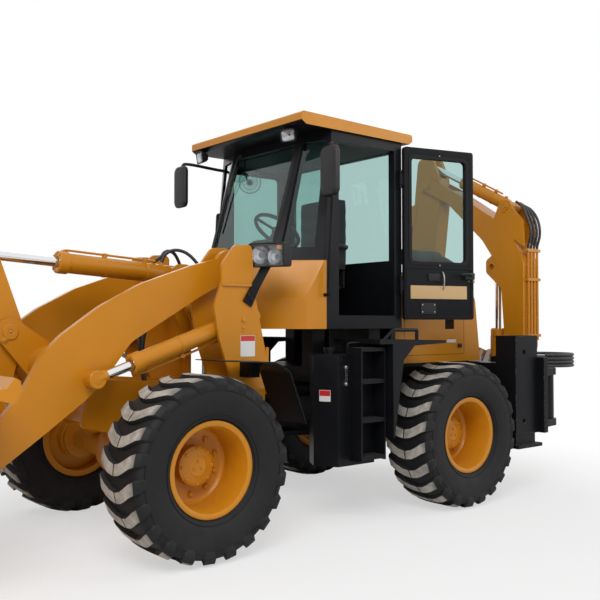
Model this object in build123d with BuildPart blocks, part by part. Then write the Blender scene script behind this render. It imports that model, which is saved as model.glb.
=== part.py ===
from build123d import *
from math import cos, radians, sin
import os

os.makedirs("parts", exist_ok=True)

# Backhoe loader with an articulated frame, in millimetres.
# X points forward, Y to the left, Z up. The ground is Z = 0.
# Heights are above the ground. Lengths are ahead of an axle, so they move with it.

# Driving dimensions of the machine
FRONT_AXLE_X = 672.0
WHEELBASE = 2350.0
REAR_AXLE_X = FRONT_AXLE_X - WHEELBASE
PIVOT_X = FRONT_AXLE_X - WHEELBASE / 2
PIN_FIT = 0.05
FACE_GAP = 5.0
SEAT_GAP = 0.3

# Wheels and axles
TYRE_RADIUS = 555.0
TYRE_WIDTH = 430.0
CARCASS_RADIUS = 523.0
RIM_SEAT_RADIUS = 254.0
RIM_FLANGE_RADIUS = 288.0
RIM_WIDTH = 345.0
WHEEL_Y = 895.0
HUB_RADIUS = 118.0
SPINDLE_RADIUS = 50.0
LUG_COUNT = 22
LUG_WIDTH = 88.0
LUG_SWEEP = 62.0

# Loader linkage, as (ahead of the front axle, height)
LIFT_PIVOT = (-500.0, 1810.0)
LIFT_BASE = (-600.0, 1460.0)
LIFT_EYE = (512.0, 1080.0)
TILT_BASE = (-370.0, 1755.0)
LEVER_PIVOT = (850.0, 1360.0)
LEVER_TOP = (985.0, 1840.0)
LEVER_FOOT = (1050.0, 450.0)
BUCKET_PIVOT = (1400.0, 380.0)
BUCKET_ROLLED_BACK = 30.0
ARM_Y = 455.0
ARM_THICKNESS = 50.0
LIFT_CYLINDER_Y = 590.0
INNER_TOWER_Y = 395.0
OUTER_TOWER_Y = 665.0
TOWER_PLATE = 22.0
BUCKET_WIDTH = 2240.0

# Cab and bodywork, lengths ahead of the rear axle
CAB_REAR = 350.0
CAB_HALF_WIDTH = 690.0
CAB_BASE_Z = 1372.0
CAB_SILL_Z = 1450.0
CAB_COWL_Z = 1590.0
CAB_LEDGE_Z = 1850.0
CAB_TOP_Z = 2815.0
DOOR_HINGE = 380.0
DOOR_WIDTH = 660.0
DOOR_THICKNESS = 38.0
DOOR_LEFT_OPEN = 164.0

# Rear digger, heights and places across the machine; its boom lies in a lateral plane
BOOM_X = REAR_AXLE_X - 1260.0
SLEW_Y = 870.0
BOOM_FOOT = (600.0, 880.0)
BOOM_TIP = (-380.0, 2780.0)
BOOM_CYL_BASE = (390.0, 620.0)
BOOM_CYL_EYE = (400.0, 1930.0)
STICK_CYL_BASE = (560.0, 2470.0)
STICK_TAIL = (-420.0, 3000.0)
STICK_FOOT = (-480.0, 1330.0)
ROCKER_PIVOT = (-470.0, 1630.0)
ROCKER_END = (-691.0, 1340.0)
HOE_LINK_FOOT = (-442.0, 1113.0)
HOE_CYL_BASE = (-690.0, 2500.0)
BOOM_HALF_WIDTH = 110.0
STICK_HALF_WIDTH = 80.0
HOE_BUCKET_WIDTH = 550.0
LEG_Y = 960.0


def front(ahead):
    return FRONT_AXLE_X + ahead


def rear(ahead):
    return REAR_AXLE_X + ahead


def from_front(point):
    return (FRONT_AXLE_X + point[0], point[1])


# Side profiles stand in planes of constant Y and are extruded to the right.
def side_plane(left_face):
    return Plane.XZ.offset(-left_face)


# Lateral profiles stand in planes of constant X and are extruded forwards.
def lateral_plane(rear_face):
    return Plane.YZ.offset(rear_face)


def slab(plane, outline, thickness, mode=Mode.ADD):
    """A flat piece from an outline of (across, up, corner radius)."""
    with BuildSketch(plane) as face:
        with BuildLine():
            corners = [(across, up) for across, up, _ in outline]
            radii = [radius for _, _, radius in outline]
            FilletPolyline(*corners, radius=radii, close=True)
        make_face()
    extrude(face.sketch, amount=thickness, mode=mode)


def disc(plane, centre, radius, thickness, mode=Mode.ADD):
    """A round boss, pin or bore on a plane."""
    with BuildSketch(plane) as face:
        with Locations(centre):
            Circle(radius)
    extrude(face.sketch, amount=thickness, mode=mode)


def eye_bar(plane, stations, thickness, mode=Mode.ADD):
    """A tapered bar through round ends, from stations of (across, up, radius)."""
    with BuildSketch(plane) as face:
        for across, up, radius in stations:
            with Locations((across, up)):
                Circle(radius)
        for (x1, z1, r1), (x2, z2, r2) in zip(stations, stations[1:]):
            side = Vector(z1 - z2, x2 - x1).normalized()
            with BuildLine():
                Polyline(
                    (x1 + side.X * r1, z1 + side.Y * r1),
                    (x2 + side.X * r2, z2 + side.Y * r2),
                    (x2 - side.X * r2, z2 - side.Y * r2),
                    (x1 - side.X * r1, z1 - side.Y * r1),
                    close=True,
                )
            make_face()
    extrude(face.sketch, amount=thickness, mode=mode)


def rod_between(start, end, radius, mode=Mode.ADD):
    """A round bar between two points in space."""
    run = Vector(*end) - Vector(*start)
    with BuildSketch(Plane(origin=start, z_dir=run)) as face:
        Circle(radius)
    extrude(face.sketch, amount=run.length, mode=mode)


def block(low, high, mode=Mode.ADD):
    """A rectangular piece between its lowest and highest corner."""
    sizes = [top - bottom for bottom, top in zip(low, high)]
    with Locations(tuple((bottom + top) / 2 for bottom, top in zip(low, high))):
        Box(*sizes, mode=mode)


def hose(points, radius, across):
    """A bent hose of eight sides through points in space; across stands square to its bends."""
    with BuildLine() as run:
        Polyline(*points)
    with BuildSketch(Plane(origin=points[0], x_dir=across, z_dir=run.line % 0)) as section:
        RegularPolygon(radius, 8)
    sweep(section.sketch, path=run.line, transition=Transition.RIGHT)


def save(piece, name):
    piece.part.label = name
    export_step(piece.part, f"parts/{name}.step")


# Hydraulic cylinders: radii of body, rod, eye and pin, widths of the rod's eye and of the base
# eye, how far the body and the hidden end of the rod lie from the base pin.
CYLINDERS = {
    # name: (body, rod, eye, pin, eye width, base width, body end, rod start)
    "lift": (58.0, 30.0, 55.0, 30.0, 70.0, 130.0, 930.0, 110.0),
    "tilt": (66.0, 32.0, 60.0, 30.0, 80.0, 140.0, 880.0, 300.0),
    "boom": (62.0, 32.0, 56.0, 28.0, 140.0, 190.0, 740.0, 630.0),
    "stick": (56.0, 29.0, 52.0, 26.0, 70.0, 120.0, 640.0, 430.0),
    "hoe_bucket": (50.0, 26.0, 48.0, 24.0, 70.0, 94.0, 670.0, 500.0),
}
BASE_TO_BODY = 45.0
GLAND_LENGTH = 60.0
GLAND_RIM = 8.0


def along(start, end, distance):
    run = Vector(*end) - Vector(*start)
    point = Vector(*start) + run.normalized() * distance
    return (point.X, point.Y, point.Z)


def pin_round(centre, axis, radius, width, mode=Mode.ADD):
    """A round piece about a pin line, centred on a point."""
    half = Vector(*axis) * (width / 2)
    start = Vector(*centre) - half
    end = Vector(*centre) + half
    rod_between(tuple(start), tuple(end), radius, mode=mode)


def cylinder_barrel(kind, base, eye, axis):
    """The body: base eye with its bore, closed tube, gland with its rim."""
    body, rod, eye_radius, pin, _, width, body_end, _ = CYLINDERS[kind]
    rod_between(along(base, eye, BASE_TO_BODY), along(base, eye, body_end), body)
    rod_between(
        along(base, eye, body_end - GLAND_LENGTH), along(base, eye, body_end), body + GLAND_RIM
    )
    pin_round(base, axis, eye_radius, width)
    pin_round(base, axis, pin + PIN_FIT, width + 1, mode=Mode.SUBTRACT)
    rod_between(
        along(base, eye, eye_radius + 12), along(base, eye, body_end + 1), rod + PIN_FIT,
        mode=Mode.SUBTRACT,
    )


def cylinder_rod(kind, base, eye, axis):
    """The rod with its eye; the eye's pin rides with it and stays inside the eye's width."""
    _, rod, eye_radius, _, width, _, _, rod_start = CYLINDERS[kind]
    distance = (Vector(*eye) - Vector(*base)).length
    rod_between(along(base, eye, rod_start), along(base, eye, distance), rod)
    pin_round(eye, axis, eye_radius, width)


# Wheel: one tyre and one rim, made about the Y axis with the outer side to the left
LUG_ROOT = CARCASS_RADIUS - 12.0
with BuildPart() as lug:
    with BuildSketch(Plane.XY.offset(LUG_ROOT)):
        for side in (1, -1):
            with BuildLine():
                Polyline(
                    (-LUG_WIDTH / 2 + LUG_SWEEP / 2, side * 6.0),
                    (LUG_WIDTH / 2 + LUG_SWEEP / 2, side * 6.0),
                    (LUG_WIDTH / 2 - LUG_SWEEP / 2, side * TYRE_WIDTH / 2),
                    (-LUG_WIDTH / 2 - LUG_SWEEP / 2, side * TYRE_WIDTH / 2),
                    close=True,
                )
            make_face()
    extrude(amount=TYRE_RADIUS - LUG_ROOT)
    with BuildSketch(Plane.YZ.offset(-TYRE_WIDTH)) as shoulder:
        with BuildLine():
            Polyline(
                (-TYRE_WIDTH / 2, LUG_ROOT - 60),
                (-TYRE_WIDTH / 2, TYRE_RADIUS - 44),
                (-TYRE_WIDTH / 2 + 52, TYRE_RADIUS),
                (TYRE_WIDTH / 2 - 52, TYRE_RADIUS),
                (TYRE_WIDTH / 2, TYRE_RADIUS - 44),
                (TYRE_WIDTH / 2, LUG_ROOT - 60),
                close=True,
            )
        make_face()
    extrude(amount=2 * TYRE_WIDTH, mode=Mode.INTERSECT)

CARCASS_SIDES = 44
CARCASS_STATIONS = [
    # half width, radius
    (RIM_WIDTH / 2 - 14, RIM_FLANGE_RADIUS + 8), (TYRE_WIDTH / 2 - 8, 345.0),
    (TYRE_WIDTH / 2, 430.0), (TYRE_WIDTH / 2 - 6, CARCASS_RADIUS - 30),
    (TYRE_WIDTH / 2 - 60, CARCASS_RADIUS),
]
with BuildPart() as tyre:
    stations = CARCASS_STATIONS + [(-half, radius) for half, radius in reversed(CARCASS_STATIONS)]
    rings = []
    for left, radius in stations:
        with BuildSketch(side_plane(left)) as ring:
            RegularPolygon(radius, CARCASS_SIDES)
        rings.append(ring.sketch)
    loft(rings, ruled=True)
    disc(side_plane(TYRE_WIDTH), (0, 0), RIM_SEAT_RADIUS + 0.2, 2 * TYRE_WIDTH, Mode.SUBTRACT)
    with Locations(*[Location((0, 0, 0), (0, 360 * i / LUG_COUNT, 0)) for i in range(LUG_COUNT)]):
        add(lug.part)

DISC_Y = -95.0
with BuildPart() as rim:
    with BuildSketch(Plane.YZ):
        with BuildLine():
            Polyline(
                (-RIM_WIDTH / 2, RIM_SEAT_RADIUS - 12),
                (-RIM_WIDTH / 2, RIM_FLANGE_RADIUS),
                (-RIM_WIDTH / 2 + 13, RIM_FLANGE_RADIUS),
                (-RIM_WIDTH / 2 + 13, RIM_SEAT_RADIUS),
                (RIM_WIDTH / 2 - 13, RIM_SEAT_RADIUS),
                (RIM_WIDTH / 2 - 13, RIM_FLANGE_RADIUS),
                (RIM_WIDTH / 2, RIM_FLANGE_RADIUS),
                (RIM_WIDTH / 2, RIM_SEAT_RADIUS - 12),
                close=True,
            )
        make_face()
        with BuildLine():
            Polyline(
                (DISC_Y - 75, 0),
                (DISC_Y - 75, 150),
                (DISC_Y, 150),
                (DISC_Y, RIM_SEAT_RADIUS - 12),
                (DISC_Y + 16, RIM_SEAT_RADIUS - 12),
                (DISC_Y + 16, HUB_RADIUS),
                (DISC_Y + 95, HUB_RADIUS),
                (DISC_Y + 104, HUB_RADIUS - 12),
                (DISC_Y + 104, 0),
                close=True,
            )
        make_face()
    revolve(axis=Axis.Y)
    disc(side_plane(DISC_Y + 40), (0, 0), SPINDLE_RADIUS + PIN_FIT, 200, mode=Mode.SUBTRACT)

# name, axle station, side
WHEELS = [
    ("front_left", FRONT_AXLE_X, 1),
    ("front_right", FRONT_AXLE_X, -1),
    ("rear_left", REAR_AXLE_X, 1),
    ("rear_right", REAR_AXLE_X, -1),
]
for name, axle_x, side in WHEELS:
    turn = 0 if side > 0 else 180
    with BuildPart() as wheel_tyre:
        with Locations(Location((axle_x, side * WHEEL_Y, TYRE_RADIUS), (0, 0, turn))):
            add(tyre.part)
    save(wheel_tyre, f"{name}_tyre")
    with BuildPart() as wheel_rim:
        with Locations(Location((axle_x, side * WHEEL_Y, TYRE_RADIUS), (0, 0, turn))):
            add(rim.part)
    save(wheel_rim, f"{name}_rim")

# Axles: tapered housing, differential, flanges and a spindle in each hub
AXLE_PAD_RADIUS = 88.0
SADDLE_Z = TYRE_RADIUS + AXLE_PAD_RADIUS + SEAT_GAP
AXLE_FLANGE_Y = WHEEL_Y + DISC_Y - 75 - FACE_GAP
SPINDLE_END_Y = WHEEL_Y + DISC_Y + 30
for name, axle_x in (("front_axle", FRONT_AXLE_X), ("rear_axle", REAR_AXLE_X)):
    with BuildPart() as axle:
        with BuildSketch(Plane.XY):
            with BuildLine():
                Polyline(
                    (0, 0), (195, 0), (185, 90), (115, 200), (AXLE_PAD_RADIUS, 255),
                    (AXLE_PAD_RADIUS, 440), (80, 500), (80, AXLE_FLANGE_Y - 30),
                    (140, AXLE_FLANGE_Y - 30), (140, AXLE_FLANGE_Y), (SPINDLE_RADIUS, AXLE_FLANGE_Y),
                    (SPINDLE_RADIUS, SPINDLE_END_Y), (0, SPINDLE_END_Y), close=True,
                )
            make_face()
        revolve(axis=Axis.Y)
        mirror(about=Plane.XZ)
    with BuildPart() as placed_axle:
        with Locations((axle_x, 0, TYRE_RADIUS)):
            add(axle.part)
    save(placed_axle, name)

# Front frame: side plates, crosspieces, towers for the arms, lugs of the centre pivot
FRONT_RAIL_Y = 290.0
RAIL_PLATE = 25.0
FRAME_PIN_RADIUS = 42.0
PIVOT_LUG_RADIUS = 95.0
UPPER_PIVOT_Z = 900.0
LOWER_PIVOT_Z = 600.0
PIVOT_LUG = 40.0
TOWER_OUTLINE = [
    # ahead of the front axle, height, corner radius
    (-417, 1926, 50), (-561, 1935, 40), (-573, 1661, 0), (-611, 1488, 60), (-726, 994, 20),
    (-412, 994, 20), (-301, 1304, 60), (-258, 1519, 70), (-319, 1682, 30), (-319, 1800, 60),
]
RAIL_OUTLINE = [
    (-950, 1000, 60), (-950, 540, 60), (-600, 470, 80), (-260, 540, 60), (-150, SADDLE_Z + 80, 0),
    (150, SADDLE_Z + 80, 0), (290, 720, 40), (480, 765, 30), (420, 980, 60), (331, 1055, 60),
    (-100, 1030, 200), (-330, 1010, 0),
]
with BuildPart() as front_frame:
    for side in (1, -1):
        rail_left = FRONT_RAIL_Y + RAIL_PLATE if side > 0 else -FRONT_RAIL_Y
        outline = [(front(x), z, r) for x, z, r in RAIL_OUTLINE]
        slab(side_plane(rail_left), outline, RAIL_PLATE)
        for tower_y in (INNER_TOWER_Y, OUTER_TOWER_Y):
            tower_left = tower_y + TOWER_PLATE if side > 0 else -tower_y
            outline = [(front(x), z, r) for x, z, r in TOWER_OUTLINE]
            slab(side_plane(tower_left), outline, TOWER_PLATE)
        # Floor of the tower, its web and the rear gusset
        low_y, high_y = sorted((side * FRONT_RAIL_Y, side * (OUTER_TOWER_Y + TOWER_PLATE)))
        block((front(-726), low_y, 975), (front(-412), high_y, 1000))
        block((front(-700), low_y, 1000), (front(-680), high_y, 1250))
        low_y, high_y = sorted((side * FRONT_RAIL_Y, side * (INNER_TOWER_Y + TOWER_PLATE)))
        block((front(-726), low_y, 760), (front(-430), high_y, 975))
        # Saddle on the axle
        low_y, high_y = sorted((side * (FRONT_RAIL_Y - 20), side * (FRONT_RAIL_Y + 95)))
        block((front(-150), low_y, SADDLE_Z), (front(150), high_y, SADDLE_Z + 80))
        # Pins of the lift arm and of the lift cylinder
        for x, z, radius in ((*LIFT_PIVOT, 38), (*LIFT_BASE, CYLINDERS["lift"][3])):
            low, high = sorted((side * INNER_TOWER_Y, side * (OUTER_TOWER_Y + TOWER_PLATE)))
            disc(side_plane(high), (front(x), z), radius, high - low)
    # Cross members and the mount of the tilt cylinder
    block((front(-640), -INNER_TOWER_Y, 1250), (front(-560), INNER_TOWER_Y, 1560))
    block((front(-900), -FRONT_RAIL_Y, 700), (front(-860), FRONT_RAIL_Y, 960))
    block((front(300), -FRONT_RAIL_Y, 760), (front(330), FRONT_RAIL_Y, 1000))
    block((front(-700), -FRONT_RAIL_Y, 640), (front(-300), FRONT_RAIL_Y, 660))
    for plate_y in (105.0, -80.0):
        outline = [
            (front(-640), 1250, 0), (front(-560), 1250, 0), (front(-300), 1700, 0),
            (front(-300), 1830, 60), (front(-440), 1830, 60), (front(-560), 1560, 0),
            (front(-640), 1560, 0),
        ]
        slab(side_plane(plate_y), outline, 25)
    disc(side_plane(105), from_front(TILT_BASE), CYLINDERS["tilt"][3], 210)
    # Lugs of the centre pivot
    for lug_z in (UPPER_PIVOT_Z, LOWER_PIVOT_Z):
        with BuildSketch(Plane.XY.offset(lug_z - PIVOT_LUG / 2)) as lug_face:
            with Locations((PIVOT_X, 0)):
                Circle(PIVOT_LUG_RADIUS)
            with BuildLine():
                Polyline(
                    (PIVOT_X, PIVOT_LUG_RADIUS), (front(-900), FRONT_RAIL_Y),
                    (front(-860), FRONT_RAIL_Y), (front(-860), -FRONT_RAIL_Y),
                    (front(-900), -FRONT_RAIL_Y), (PIVOT_X, -PIVOT_LUG_RADIUS), close=True,
                )
            make_face()
            with Locations((PIVOT_X, 0)):
                Circle(FRAME_PIN_RADIUS + PIN_FIT, mode=Mode.SUBTRACT)
        extrude(lug_face.sketch, amount=PIVOT_LUG)
save(front_frame, "front_frame")

# Front mudguards: a bent plate behind each wheel on a bracket from the tower
GUARD_OUTER_Y = 1070.0
with BuildPart() as front_mudguards:
    for side in (1, -1):
        guard_inner_y = 745.0
        left = GUARD_OUTER_Y if side > 0 else -guard_inner_y
        width = GUARD_OUTER_Y - guard_inner_y
        outline = [
            (front(-80), 1190, 0), (front(-470), 1170, 60), (front(-580), 1110, 60),
            (front(-715), 770, 0), (front(-709), 768, 0), (front(-574), 1106, 54),
            (front(-468), 1164, 54), (front(-80), 1184, 0),
        ]
        slab(side_plane(left), outline, width)
        low_y, high_y = sorted((side * (OUTER_TOWER_Y + TOWER_PLATE + SEAT_GAP), side * 800.0))
        block((front(-540), low_y, 1060), (front(-460), high_y, 1166))
save(front_mudguards, "front_mudguards")

# Headlamps on a slanted bracket on each tower
with BuildPart() as headlamps:
    for side in (1, -1):
        plate_y = OUTER_TOWER_Y + TOWER_PLATE + SEAT_GAP
        low_y, high_y = sorted((side * plate_y, side * (plate_y + 14)))
        outline = [
            (front(-480), 1560, 10), (front(-570), 1700, 0), (front(-640), 1810, 0),
            (front(-720), 1810, 0), (front(-620), 1660, 0), (front(-545), 1520, 10),
        ]
        slab(side_plane(high_y), outline, high_y - low_y)
        low_y, high_y = sorted((side * (OUTER_TOWER_Y - 60), side * (OUTER_TOWER_Y + 150)))
        block((front(-730), low_y, 1800), (front(-600), high_y, 1950))
save(headlamps, "headlamps")

# Loader arms: two plates, a cross tube and the bracket of the lever
ARM_OUTLINE = [
    # ahead of the front axle, height, corner radius
    (-560, 1890, 0), (-193, 1788, 300), (174, 1659, 500), (444, 1517, 500), (697, 1338, 400),
    (816, 1212, 200), (931, 1006, 300), (1120, 790, 200), (1465, 435, 0), (1345, 310, 0),
    (1040, 596, 200), (753, 794, 0), (556, 938, 0), (441, 1030, 0), (234, 1296, 200),
    (-271, 1589, 100), (-560, 1735, 0),
]
CROSS_TUBE = (620.0, 1150.0)
CROSS_TUBE_RADIUS = 120.0
ARM_PIN_RADIUS = 38.0
with BuildPart() as loader_arms:
    for side in (1, -1):
        left = ARM_Y + ARM_THICKNESS if side > 0 else -ARM_Y
        plane = side_plane(left)
        slab(plane, [(front(x), z, r) for x, z, r in ARM_OUTLINE], ARM_THICKNESS)
        for point, radius in ((LIFT_PIVOT, 98), (LIFT_EYE, 78), (BUCKET_PIVOT, 88)):
            disc(plane, from_front(point), radius, ARM_THICKNESS)
        for point in (LIFT_PIVOT, BUCKET_PIVOT):
            disc(plane, from_front(point), ARM_PIN_RADIUS + PIN_FIT, ARM_THICKNESS, Mode.SUBTRACT)
        # Stub that faces the eye of the lift cylinder
        eye_face = LIFT_CYLINDER_Y - CYLINDERS["lift"][4] / 2 - FACE_GAP
        low, high = sorted((side * (ARM_Y + ARM_THICKNESS - 5), side * eye_face))
        disc(side_plane(high), from_front(LIFT_EYE), 45, high - low)
    disc(side_plane(ARM_Y), from_front(CROSS_TUBE), CROSS_TUBE_RADIUS, 2 * ARM_Y)
    for left in (125.0, -90.0):
        stations = [
            (front(CROSS_TUBE[0]), CROSS_TUBE[1], CROSS_TUBE_RADIUS + 10),
            (front(LEVER_PIVOT[0]), LEVER_PIVOT[1], 85),
        ]
        eye_bar(side_plane(left), stations, 35)
    disc(side_plane(125), from_front(LEVER_PIVOT), 40, 250)
save(loader_arms, "loader_arms")

# Lever between the tilt cylinder and the bucket link
LEVER_LEFT = 80.0
LEVER_PLATE = 30.0
with BuildPart() as lever:
    stations = [
        (*from_front(LEVER_TOP), 68), (*from_front(LEVER_PIVOT), 105), (*from_front(LEVER_FOOT), 72),
    ]
    for left in (LEVER_LEFT, -LEVER_LEFT + LEVER_PLATE):
        eye_bar(side_plane(left), stations, LEVER_PLATE)
        disc(side_plane(left), from_front(LEVER_TOP), 30, LEVER_PLATE, Mode.SUBTRACT)
    disc(side_plane(LEVER_LEFT), from_front(LEVER_PIVOT), 95, 2 * LEVER_LEFT)
    disc(side_plane(LEVER_LEFT), from_front(LEVER_PIVOT), 40 + PIN_FIT, 2 * LEVER_LEFT, Mode.SUBTRACT)
    disc(side_plane(LEVER_LEFT), from_front(LEVER_FOOT), 32, 2 * LEVER_LEFT)
save(lever, "bellcrank")

# Link between the lever and the bucket
LINK_HALF_WIDTH = 40.0
BUCKET_LINK_PIN = (
    BUCKET_PIVOT[0] + 320 * cos(radians(100)),
    BUCKET_PIVOT[1] + 320 * sin(radians(100)),
)
with BuildPart() as bucket_link:
    stations = [(*from_front(LEVER_FOOT), 62), (*from_front(BUCKET_LINK_PIN), 58)]
    eye_bar(side_plane(LINK_HALF_WIDTH), stations, 2 * LINK_HALF_WIDTH)
    disc(
        side_plane(LINK_HALF_WIDTH), from_front(LEVER_FOOT), 32 + PIN_FIT, 2 * LINK_HALF_WIDTH,
        Mode.SUBTRACT,
    )
save(bucket_link, "bucket_link")

# Cylinders of the loader
PIN_Y = (0, 1, 0)
with BuildPart() as lift_barrels:
    for side in (1, -1):
        base = (front(LIFT_BASE[0]), side * LIFT_CYLINDER_Y, LIFT_BASE[1])
        eye = (front(LIFT_EYE[0]), side * LIFT_CYLINDER_Y, LIFT_EYE[1])
        cylinder_barrel("lift", base, eye, PIN_Y)
save(lift_barrels, "lift_barrels")
with BuildPart() as lift_rods:
    for side in (1, -1):
        base = (front(LIFT_BASE[0]), side * LIFT_CYLINDER_Y, LIFT_BASE[1])
        eye = (front(LIFT_EYE[0]), side * LIFT_CYLINDER_Y, LIFT_EYE[1])
        cylinder_rod("lift", base, eye, PIN_Y)
save(lift_rods, "lift_rods")
TILT_ENDS = (
    (front(TILT_BASE[0]), 0, TILT_BASE[1]),
    (front(LEVER_TOP[0]), 0, LEVER_TOP[1]),
)
with BuildPart() as tilt_barrel:
    cylinder_barrel("tilt", *TILT_ENDS, PIN_Y)
save(tilt_barrel, "tilt_barrel")
with BuildPart() as tilt_rod:
    cylinder_rod("tilt", *TILT_ENDS, PIN_Y)
save(tilt_rod, "tilt_rod")

# Loader bucket, drawn flat about its pivot and then rolled back
BUCKET_WALL = 14.0
BUCKET_OUTLINE = [
    # ahead of the pivot, above the pivot, corner radius
    (175, 760, 20), (215, 620, 60), (200, 20, 220), (420, -280, 160), (1060, -280, 0),
]


def flat_to_bucket(ahead, above):
    angle = radians(BUCKET_ROLLED_BACK)
    return (
        front(BUCKET_PIVOT[0]) + ahead * cos(angle) - above * sin(angle),
        BUCKET_PIVOT[1] + ahead * sin(angle) + above * cos(angle),
    )


with BuildPart() as loader_bucket:
    half = BUCKET_WIDTH / 2
    outside = [(*flat_to_bucket(x, z), r) for x, z, r in BUCKET_OUTLINE]
    inside = [
        (*flat_to_bucket(x, z), r) for x, z, r in [
            (175 + BUCKET_WALL + 6, 790, 0), (215 + BUCKET_WALL, 620, 50), (200 + BUCKET_WALL, 25, 210),
            (428, -280 + BUCKET_WALL, 150), (1100, -280 + BUCKET_WALL, 0), (1100, 790, 0),
        ]
    ]
    slab(side_plane(half), outside, BUCKET_WIDTH)
    slab(side_plane(half - 20), inside, BUCKET_WIDTH - 40, Mode.SUBTRACT)
    # Spill guard and cutting edge
    guard = [(138, 655, 20), (140, 728, 20), (172, 767, 10), (205, 767, 0), (222, 635, 0)]
    slab(side_plane(half), [(*flat_to_bucket(x, z), r) for x, z, r in guard], BUCKET_WIDTH)
    edge = [(920, -280, 0), (920, -300, 0), (1132, -300, 0), (1151.88, -288, 0), (1040, -266, 0)]
    slab(side_plane(half), [(*flat_to_bucket(x, z), r) for x, z, r in edge], BUCKET_WIDTH)
    # Lugs on both sides of each arm, and the pair for the link
    lug_outline = [
        (-75, -60, 60), (-75, 75, 60), (110, 290, 0), (213, 290, 0), (208, 95, 0), (220, 20, 0),
        (250, -40, 0), (340, -162, 0), (140, -100, 0),
    ]
    outline = [(*flat_to_bucket(x, z), r) for x, z, r in lug_outline]
    for side in (1, -1):
        for inner_y in (ARM_Y - 45, ARM_Y + ARM_THICKNESS + 10):
            left = inner_y + 35 if side > 0 else -inner_y
            slab(side_plane(left), outline, 35)
        low, high = sorted((side * (ARM_Y - 45), side * (ARM_Y + ARM_THICKNESS + 45)))
        disc(side_plane(high), from_front(BUCKET_PIVOT), ARM_PIN_RADIUS, high - low)
    link_outline = [
        (58, 236, 50), (58, 361, 50), (150, 450, 0), (217, 450, 0), (210, 160, 0), (140, 160, 0),
    ]
    outline = [(*flat_to_bucket(x, z), r) for x, z, r in link_outline]
    for left in (80.0, -50.0):
        slab(side_plane(left), outline, 30)
        disc(side_plane(left), from_front(BUCKET_LINK_PIN), 30, 30, Mode.SUBTRACT)
save(loader_bucket, "loader_bucket")

# Rear chassis: two rails, cross members, fork of the centre pivot
REAR_RAIL_Y = 330.0
DECK_Z = 1090.0
HOOD_HALF_WIDTH = 560.0
REAR_RAIL_OUTLINE = [
    # ahead of the rear axle, height, corner radius
    (870, DECK_Z, 0), (870, 560, 60), (700, 480, 60), (300, 540, 80), (150, SADDLE_Z, 0),
    (-150, SADDLE_Z, 0), (-300, 560, 60), (-620, 560, 0), (-620, DECK_Z, 0),
]
with BuildPart() as rear_chassis:
    for side in (1, -1):
        left = REAR_RAIL_Y + RAIL_PLATE if side > 0 else -REAR_RAIL_Y
        slab(side_plane(left), [(rear(x), z, r) for x, z, r in REAR_RAIL_OUTLINE], RAIL_PLATE)
        low_y, high_y = sorted((side * (REAR_RAIL_Y - 50), side * (REAR_RAIL_Y + 100)))
        block((rear(-150), low_y, SADDLE_Z), (rear(150), high_y, SADDLE_Z + 60))
        # Cab mounts
        for mount_x in (420, 1000):
            low_y, high_y = sorted((side * 400, side * 520))
            block((rear(mount_x), low_y, DECK_Z - 60), (rear(mount_x + 120), high_y, CAB_BASE_Z - SEAT_GAP))
            low_y, high_y = sorted((side * REAR_RAIL_Y, side * 400))
            block((rear(mount_x), low_y, DECK_Z - 60), (rear(mount_x + 120), high_y, DECK_Z))
    block((rear(830), -REAR_RAIL_Y, 560), (rear(870), REAR_RAIL_Y, DECK_Z))
    block((rear(-620), -REAR_RAIL_Y, 560), (rear(-590), REAR_RAIL_Y, DECK_Z))
    block((rear(-590), -REAR_RAIL_Y, DECK_Z - 30), (rear(830), REAR_RAIL_Y, DECK_Z))
    block((rear(-620), -HOOD_HALF_WIDTH, DECK_Z - 30), (rear(290), HOOD_HALF_WIDTH, DECK_Z))
    block((rear(830), -REAR_RAIL_Y, DECK_Z - 30), (rear(1120), REAR_RAIL_Y, DECK_Z))
    for lug_z in (UPPER_PIVOT_Z, LOWER_PIVOT_Z):
        for step in (1, -1):
            height = lug_z + step * (PIVOT_LUG / 2 + FACE_GAP + 15)
            with BuildSketch(Plane.XY.offset(height - 15)) as lug_face:
                with Locations((PIVOT_X, 0)):
                    Circle(PIVOT_LUG_RADIUS)
                with BuildLine():
                    Polyline(
                        (PIVOT_X, PIVOT_LUG_RADIUS), (rear(870), 200), (rear(850), 200),
                        (rear(850), -200), (rear(870), -200), (PIVOT_X, -PIVOT_LUG_RADIUS),
                        close=True,
                    )
                make_face()
            extrude(lug_face.sketch, amount=30)
        disc(
            Plane.XY.offset(lug_z - PIVOT_LUG / 2 - FACE_GAP - 30), (PIVOT_X, 0), FRAME_PIN_RADIUS,
            PIVOT_LUG + 2 * FACE_GAP + 60,
        )
save(rear_chassis, "rear_chassis")

# Engine, one plain block on the deck under the hood
HOOD_PLATE = 12.0
with BuildPart() as engine_block:
    block((rear(-560), -300, DECK_Z + SEAT_GAP), (rear(230), 300, 1640))
save(engine_block, "engine_block")

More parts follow.
